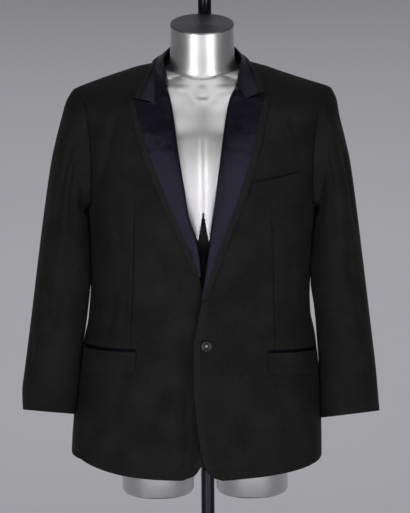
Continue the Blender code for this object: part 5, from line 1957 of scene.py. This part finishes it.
@dataclass
class Form:
    """The limbless dress form: a smooth shell with a neck, thigh stumps and light relief."""

    sides: int = 330
    front_pull: float = 0.72  # how much closer together its columns are down the front
    neck_radius: float = 0.05875
    neck_top: float = 1.515
    tilt: float = math.radians(3.5)
    cap_thick: float = 0.0035
    cap_edge: float = 0.0008
    stump_x: float = 0.0877
    stump_y: float = -0.004
    stump_half: float = 0.0665
    stump_depth: float = 0.077
    # height, and how far inside the stump's side
    stump: tuple = (
        (0.62, 0.006), (0.6204, 0.0035), (0.6218, 0.0012), (0.624, 0.0), (0.7, 0.0), (0.8, 0.0),
    )
    # from, to, and how many rings between them
    spans: tuple = (
        (0.715, 1.075, 42), (1.078, 1.19, 60), (1.196, 1.36, 26), (1.362, 1.445, 60),
        (1.448, 1.47, 8),
    )
    relief_front: Pair = (0.0, 0.04)  # how far forwards the relief begins
    relief_top: Pair = (1.425, 1.44)  # where up the neck it ends
    # the belly falls back below the chest, from higher up at the breastbone
    hollow_top: float = 1.184
    hollow_slope: float = 0.28
    hollow_depth: float = 0.03
    # how deep the hollow's edge falls at once, and in what height
    hollow_step: Pair = (0.025, 0.026)
    hollow_end: Pair = (0.85, 0.99)
    # how steeply that edge drops to each side, and how far
    arch: Pair = (6.0, 0.056)
    # height, half width, front, back, squareness
    levels: tuple = (
        (0.715, 0.15, 0.085, 0.104, 2.3), (0.745, 0.164, 0.104, 0.112, 2.3),
        (0.8, 0.169, 0.114, 0.116, 2.3), (0.87, 0.164, 0.118, 0.11, 2.3),
        (0.96, 0.15, 0.112, 0.102, 2.3), (1.04, 0.154, 0.112, 0.103, 2.3),
        (1.1, 0.162, 0.113, 0.107, 2.3), (1.15, 0.171, 0.116, 0.11, 2.3),
        (1.2, 0.177, 0.1172, 0.112, 2.4), (1.26, 0.184, 0.1165, 0.115, 2.4),
        (1.32, 0.189, 0.1065, 0.114, 2.4), (1.36, 0.189, 0.092, 0.107, 2.4),
        (1.385, 0.184, 0.081, 0.1, 2.3), (1.3985, 0.173, 0.073, 0.094, 2.2),
        (1.4088, 0.153, 0.068, 0.088, 2.1), (1.4162, 0.129, 0.064, 0.082, 2.0),
        (1.4212, 0.11, 0.0615, 0.076, 2.0), (1.4246, 0.094, 0.0602, 0.0715, 2.0),
        (1.4276, 0.08, 0.06, 0.0675, 2.0), (1.43, 0.0675, 0.06, 0.064, 2.0),
        (1.442, 0.061, 0.06, 0.0605, 2.0), (1.47, 0.0589, 0.0588, 0.0588, 2.0),
    )
    # relief on the chest, in (across, height) on each side of the middle
    relief: tuple = drawn(
        (0.01, 1.392, 0.056, 1.4015, 0.009, -0.001, 0.004),
        (0.015, 1.378, 0.058, 1.387, 0.011, 0.0007, 0.004), (0.0, 1.414, 0.0, 1.388, 0.012, 0.001),
        (0.0, 1.39, 0.0, 1.12, 0.008, 0.0014), (0.045, 1.36, 0.055, 1.2, 0.03, -0.003),
    )

    def ring(
        self, z: float, half: float, front: float, back: float, square: float, tilt: float = 0.0,
    ) -> Array:
        """A level section of the form.

        Args:
            z: its height.
            half: half its width.
            front: how far it reaches forwards.
            back: how far it reaches back.
            square: its squareness, 2 for an oval.
            tilt: how far it is tilted forwards.

        Returns:
            The section's points.
        """
        turn = (np.arange(self.sides) + 0.5) * 2 * np.pi / self.sides
        turn = turn - self.front_pull * np.cos(turn)
        power = 2 / square
        c, s = np.cos(turn), np.sin(turn)
        x = half * np.sign(c) * np.abs(c) ** power
        y = np.where(s < 0, front, back) * np.sign(s) * np.abs(s) ** power
        return np.stack([x, y, z + y * math.tan(tilt)], -1)

    def trunk(self) -> Array:
        """The body's rings from the hips to the cap, before its relief.

        Returns:
            A row of points for each.
        """
        curve, foot, top = Curve(self.levels), self.levels[-1][0], self.neck_top - self.cap_thick
        heights = np.concatenate([np.linspace(*span) for span in self.spans])
        rings = [self.ring(z, *(float(curve.at(z, k)) for k in range(4))) for z in heights]
        for share in np.linspace(0.12, 1, 9):
            tilt = self.tilt * ramp(share, 0, 1)
            rings.append(self.ring(mix(foot, top, share), *[self.neck_radius] * 3, 2.0, tilt))
        return np.stack(rings)

    def modelled(self, points: Array) -> Array:
        """Adds the chest's relief and the hollow below it.

        Args:
            points: the body's rings.

        Returns:
            The rings, moved.
        """
        x, z = np.abs(points[..., 0]), points[..., 2]
        front = ramp(-points[..., 1], *self.relief_front) * (1 - ramp(z, *self.relief_top))
        lift = sum(crease.lift(x, z) for crease in self.relief) * front
        points = Patch(points, 1).raised(lift).points
        centre = 1 - ramp(points[..., 1], -self.relief_front[1], 0.0)
        below = self.hollow_top - z - np.minimum(self.arch[0] * x, self.arch[1])
        step, height = self.hollow_step
        deep = np.clip(self.hollow_slope * below, 0, self.hollow_depth)
        deep = deep + step * ramp(below, 0, height)
        points[..., 1] += centre * deep * ramp(z, *self.hollow_end)
        return points

    def build(self, silver: Material, cap: Material) -> None:
        """Makes the body with its stumps, and the neck's flat cap.

        Args:
            silver: the body's finish.
            cap: the cap's finish.
        """
        pieces = [loft("form_body", self.modelled(self.trunk()), silver)]
        for side in Side:
            rings = np.stack([
                self.ring(z, self.stump_half - inset, *[self.stump_depth - inset] * 2, 2.25)
                for z, inset in self.stump
            ]) + (side.value * self.stump_x, self.stump_y, 0)
            pieces.append(loft(f"stump_{side.hand}", rings, silver))
        seat(joined("torso", pieces), "form", "torso_form")
        edge, top = self.cap_edge, self.neck_top - self.cap_thick
        rings = np.stack([
            self.ring(top + height, *[self.neck_radius - inset] * 3, 2.0, self.tilt)
            for inset, height in ((0.0, 0.0), (0.0, self.cap_thick - edge), (edge, self.cap_thick))
        ])
        seat(loft("neck_disc", rings, cap, 30), "cap", "neck_cap")


@dataclass
class Stand:
    """The pole behind the form, with its clamp, flange and base plate."""

    x: float = 0.005
    y: float = 0.0745
    radius: float = 0.0125
    top: float = 1.595
    base_side: float = 0.38
    base_thick: float = 0.008
    base_corner: float = 0.03
    base_lift: float = 0.0003
    # inset and height of the base plate's rim
    base_rim: tuple = ((0, 0), (0, 0.0068), (0.0004, 0.0076), (0.0012, 0.008))
    # radius and height of the clamp below the form, outside the pole
    clamp: tuple = ((0.021, 0.6947), (0.022, 0.6957), (0.022, 0.7137), (0.021, 0.7147))
    # radius and height above the base plate of the flange, outside the pole
    flange: tuple = (
        (0.035, 0.0), (0.035, 0.003), (0.0335, 0.0042), (0.019, 0.0125), (0.0165, 0.014),
    )
    # how far inside the pole's side, and how far above its end, the plug's edge lies
    plug: tuple = ((0.0, 0.0003), (0.0, 0.005), (0.0008, 0.0075), (0.0035, 0.0093))
    plug_top: float = 0.0101

    def build(self, chrome: Material, cap: Material) -> None:
        """Makes the turned and cut parts of the stand.

        Args:
            chrome: its metal's finish.
            cap: the finish of the pole's plug.
        """
        place, up = Vector((self.x, self.y, 0)), Vector((0, 0, 1))
        r, top, foot, axis = self.radius, self.top, self.base_thick + self.base_lift, 0.0001
        pole = ((axis, foot), (r, foot), (r, top), (axis, top))
        plug = (
            (axis, top), *((r - inset, top + height) for inset, height in self.plug),
            (axis, top + self.plug_top),
        )
        clamp = ((r, self.clamp[0][1]), *self.clamp, (r, self.clamp[-1][1]))
        flange = ((r, foot), *((wide, foot + height) for wide, height in self.flange))
        flange += ((r, flange[-1][1]),)
        for name, profile, finish, slot, node, looped in (
            ("pole_tube", pole, chrome, "stand", "pole", False),
            ("pole_plug", plug, cap, "cap", "pole_cap", False),
            ("collar_clamp", clamp, chrome, "stand", "pole_clamp", True),
            ("foot_flange", flange, chrome, "stand", "base_flange", True),
        ):
            seat(turned(name, profile, place, up, 96, finish, looped=looped), slot, node)
        half, corner = self.base_side / 2, self.base_corner
        points = []
        for quarter in range(4):
            middle = math.pi / 2 * (quarter + 0.5)
            sx, sy = (math.copysign(half - corner, way(middle)) for way in (math.cos, math.sin))
            for k in range(17):
                turn = math.pi / 2 * (quarter + k / 16)
                points.append((sx + corner * math.cos(turn), sy + corner * math.sin(turn), 0.0))
        flat = np.array(points)
        rings = [flat * (1 - inset / half) + (0, 0, height) for inset, height in self.base_rim]
        seat(loft("base", np.stack(rings), chrome, 20), "stand", "base_plate")


# Sewing


@dataclass
class Stitching:
    """Topstitching along the hem and above the cuffs, as short thread runs."""

    pitch: float = 0.003
    run: float = 0.0021
    radius: float = 0.00028
    sides: int = 6
    # along a stitch, and how far off the cloth, in radii: both ends dip into it
    arc: tuple = ((0.0, -0.9), (0.18, 0.35), (0.5, 0.6), (0.82, 0.35), (1.0, -0.9))
    hem_in: float = 0.006
    cuff_in: float = 0.007
    cuff_gap: float = 0.001  # from the sleeve's seams, as a share of its girth

    def rows_of(self, patch: Patch, distance: float) -> tuple[Array, Array]:
        """A line along a patch.

        Args:
            patch: the patch.
            distance: how far in from its first row, or from its last where below 0.

        Returns:
            The line's points and its normals.
        """
        climb = patch.spans()[1]
        columns = np.arange(climb.shape[1])
        where = np.broadcast_to(distance if distance > 0 else climb[-1] + distance, len(columns))
        line = [read(patch.points[:, j], climb[:, j], where[j]) for j in columns]
        row = np.abs(climb - where).argmin(0)
        return np.array(line), patch.normals()[row, columns]

    def stitch(self, centre: Array, out: Array) -> list[Array]:
        """The rings of one stitch.

        Args:
            centre: points of the cloth below it.
            out: the way the cloth faces at each.

        Returns:
            A ring of points at each.
        """
        ahead = centre[-1] - centre[0]
        ahead /= np.linalg.norm(ahead)
        across = np.cross(out, ahead)
        centre = centre + out * (self.radius * np.array([rise for _, rise in self.arc])[:, None])
        turn = np.arange(self.sides) * 2 * np.pi / self.sides
        c, s = np.cos(turn)[:, None], np.sin(turn)[:, None]
        return [p + self.radius * (c * a + s * o) for p, a, o in zip(centre, across, out)]

    def sew(self, name: str, lines: list, thread: Material) -> Piece:
        """One object of all the stitches along the lines.

        Args:
            name: the piece's name.
            lines: pairs of a line's points and its normals.
            thread: its finish.

        Returns:
            The linked object.
        """
        points, faces = [], []
        m = np.arange(self.sides)
        n = (m + 1) % self.sides
        for line, normals in lines:
            along = distances(line)
            for start in np.arange(self.pitch, along[-1] - 2 * self.pitch, self.pitch):
                at = start + self.run * np.array([place for place, _ in self.arc])
                for k in range(len(self.arc) - 1):
                    base = (len(points) + k) * self.sides
                    after = base + self.sides
                    faces.append(np.stack([base + m, base + n, after + n, after + m], -1))
                points += self.stitch(read(line, along, at), read(normals, along, at))
        return make(name, np.concatenate(points), np.concatenate(faces), thread)

    def build(self, thread: Material, fronts: Fronts, sleeves: Sleeves) -> None:
        """Sews the hem of both fronts and the cuffs of both sleeves.

        Args:
            thread: its finish.
            fronts: the fronts.
            sleeves: the sleeves.
        """
        first, last = self.cuff_gap - sleeves.back_share, sleeves.front_share - self.cuff_gap
        hems = [self.rows_of(fronts.patch(side), self.hem_in) for side in Side]
        cuffs = [self.rows_of(sleeves.patch(side, first, last, 90), -self.cuff_in) for side in Side]
        seat(self.sew("topstitching", hems + cuffs, thread), "wool")


# Studio


@dataclass(frozen=True)
class Lamp:
    """One rectangular area light, with its beam kept to a spread in degrees."""

    name: str
    place: Triple
    size: Pair
    power: float
    aim: Triple = (0, 0, 1.15)
    spread: float = 180

    def build(self) -> None:
        """Makes the light, aimed at its point."""
        data = bpy.data.lights.new(self.name, "AREA")
        data.spread = math.radians(self.spread)
        data.shape, data.size, data.size_y, data.energy = "RECTANGLE", *self.size, self.power
        lamp = bpy.data.objects.new(self.name, data)
        lamp.location = self.place
        way = Vector(self.aim) - Vector(self.place)
        lamp.rotation_euler = way.to_track_quat("-Z", "Y").to_euler()
        bpy.context.scene.collection.objects.link(lamp)


@dataclass
class Studio:
    """The floor, the soft boxes and panels over it, the sky and the camera."""

    target: Triple = (0.0026, 0.0, 1.067)
    distance: float = 26.0
    elevation: float = 15.5
    lens: float = 981.5
    roll: float = -0.39
    floor_half: float = 14.0
    sky_colour: str = "#e6e6ea"
    # the sky's brightness goes from the first to the second between these heights
    sky_strength: Pair = (0.56, 0.23)
    sky_heights: Pair = (-0.25, 0.06)
    lamps: tuple[Lamp, ...] = (
        Lamp("soft box left", (-1.3, -2.2, 0.85), (0.35, 1.5), 14),
        Lamp("soft box right", (1.3, -2.2, 0.85), (0.35, 1.5), 14),
        Lamp("front wall", (0, -4.0, 1.4), (1.4, 0.5), 3.0),
        Lamp("high panel", (0, -3.2, 4.3), (3.6, 2.0), 22),
        Lamp("rear panel", (0, 3.3, 5.0), (8.0, 5.6), 72, (0, 3.3, 0), 60),
        Lamp("front panel", (0, -3.7, 5.0), (4.0, 3.6), 118, (0, -3.7, 0), 40),
    )

    def camera(self) -> None:
        """A long lens a little above the chest, level with the centre line."""
        data = bpy.data.cameras.new("camera")
        data.lens, data.sensor_width, data.clip_end = self.lens, 36.0, 60.0
        view = bpy.data.objects.new("camera", data)
        rise = math.radians(self.elevation)
        back = Vector((0, -math.cos(rise), math.sin(rise)))
        view.location = Vector(self.target) + self.distance * back
        turn = Vector((0, math.cos(rise), -math.sin(rise))).to_track_quat("-Z", "Y").to_matrix()
        roll = Matrix.Rotation(math.radians(self.roll), 4, Vector((0, 0, 1)))
        view.rotation_euler = (turn.to_4x4() @ roll).to_euler()
        bpy.context.scene.collection.objects.link(view)
        bpy.context.scene.camera = view

    def sky(self) -> None:
        """An even light from all round, brighter from below, where a floor throws it back."""
        world = bpy.data.worlds.new("studio")
        world.use_nodes = True
        tree = world.node_tree
        where = add(tree, "ShaderNodeTexCoord")
        height = add(tree, "ShaderNodeSeparateXYZ", None, Vector=where.outputs["Generated"])
        (start, end), (low, high) = self.sky_heights, self.sky_strength
        strength = add(
            tree, "ShaderNodeMapRange", {"interpolation_type": "SMOOTHSTEP"},
            Value=height.outputs["Z"], From_Min=start, From_Max=end, To_Min=low, To_Max=high,
        )
        background = tree.nodes["Background"]
        background.inputs["Color"].default_value = linear(self.sky_colour)
        tree.links.new(strength.outputs[0], background.inputs["Strength"])
        bpy.context.scene.world = world

    def build(self) -> None:
        """Sets up the floor, sky, lamps and camera."""
        far = self.floor_half
        corners = np.array([(-far, -far, 0), (far, -far, 0), (far, far, 0), (-far, far, 0)], float)
        paint = PaintedFloor("studio floor paint").build()
        make("floor", corners, np.array([(0, 1, 2, 3)]), paint)
        self.sky()
        bpy.context.scene.view_settings.view_transform = "Standard"
        for lamp in self.lamps:
            lamp.build()
        self.camera()


def clear() -> None:
    """Removes the start-up objects."""
    for old in list(bpy.data.objects):
        if old.name in {"Cube", "Light", "Camera"}:
            bpy.data.objects.remove(old, do_unlink=True)


def main() -> None:
    """Builds every sub-assembly in order and finishes the scene."""
    logging.basicConfig(level=logging.INFO, format="%(name)s %(message)s")
    clear()
    wool = Barathea("black barathea wool").build()
    satin = Satin("midnight satin").build()
    grosgrain = Grosgrain("black grosgrain ribbon").build()
    silver = BrushedMetal("brushed silver lacquer").build()
    chrome = Plated("chromed steel").build()
    grey = BrushedMetal("brushed grey cap", "#7c7c7f", 0.4).build()
    resin = CastResin("cast resin").build()
    thread = Barathea("polyester thread", "#1c1c1c", "#242424").build()
    Form().build(silver, grey)
    Stand().build(chrome, grey)
    fronts, sleeves, lapels = Fronts(), Sleeves(), Lapels()
    fronts.build(wool)
    Backs().build(wool)
    Sides().build(wool)
    sleeves.build(wool)
    lapels.build(satin, grosgrain)
    Collar(lapels).build(satin, grosgrain)
    FrontRibbons(fronts).build(grosgrain)
    Pockets(fronts).build(wool, Satin("pressed satin jets", roughness=0.5, lustre=0.08).build())
    Button(fronts).build(resin, BrushedMetal("brushed nickel inlay", "#a3a3a6", 0.34).build())
    Stitching().build(thread, fronts, sleeves)
    Studio().build()


if __name__ == "__main__":
    main()
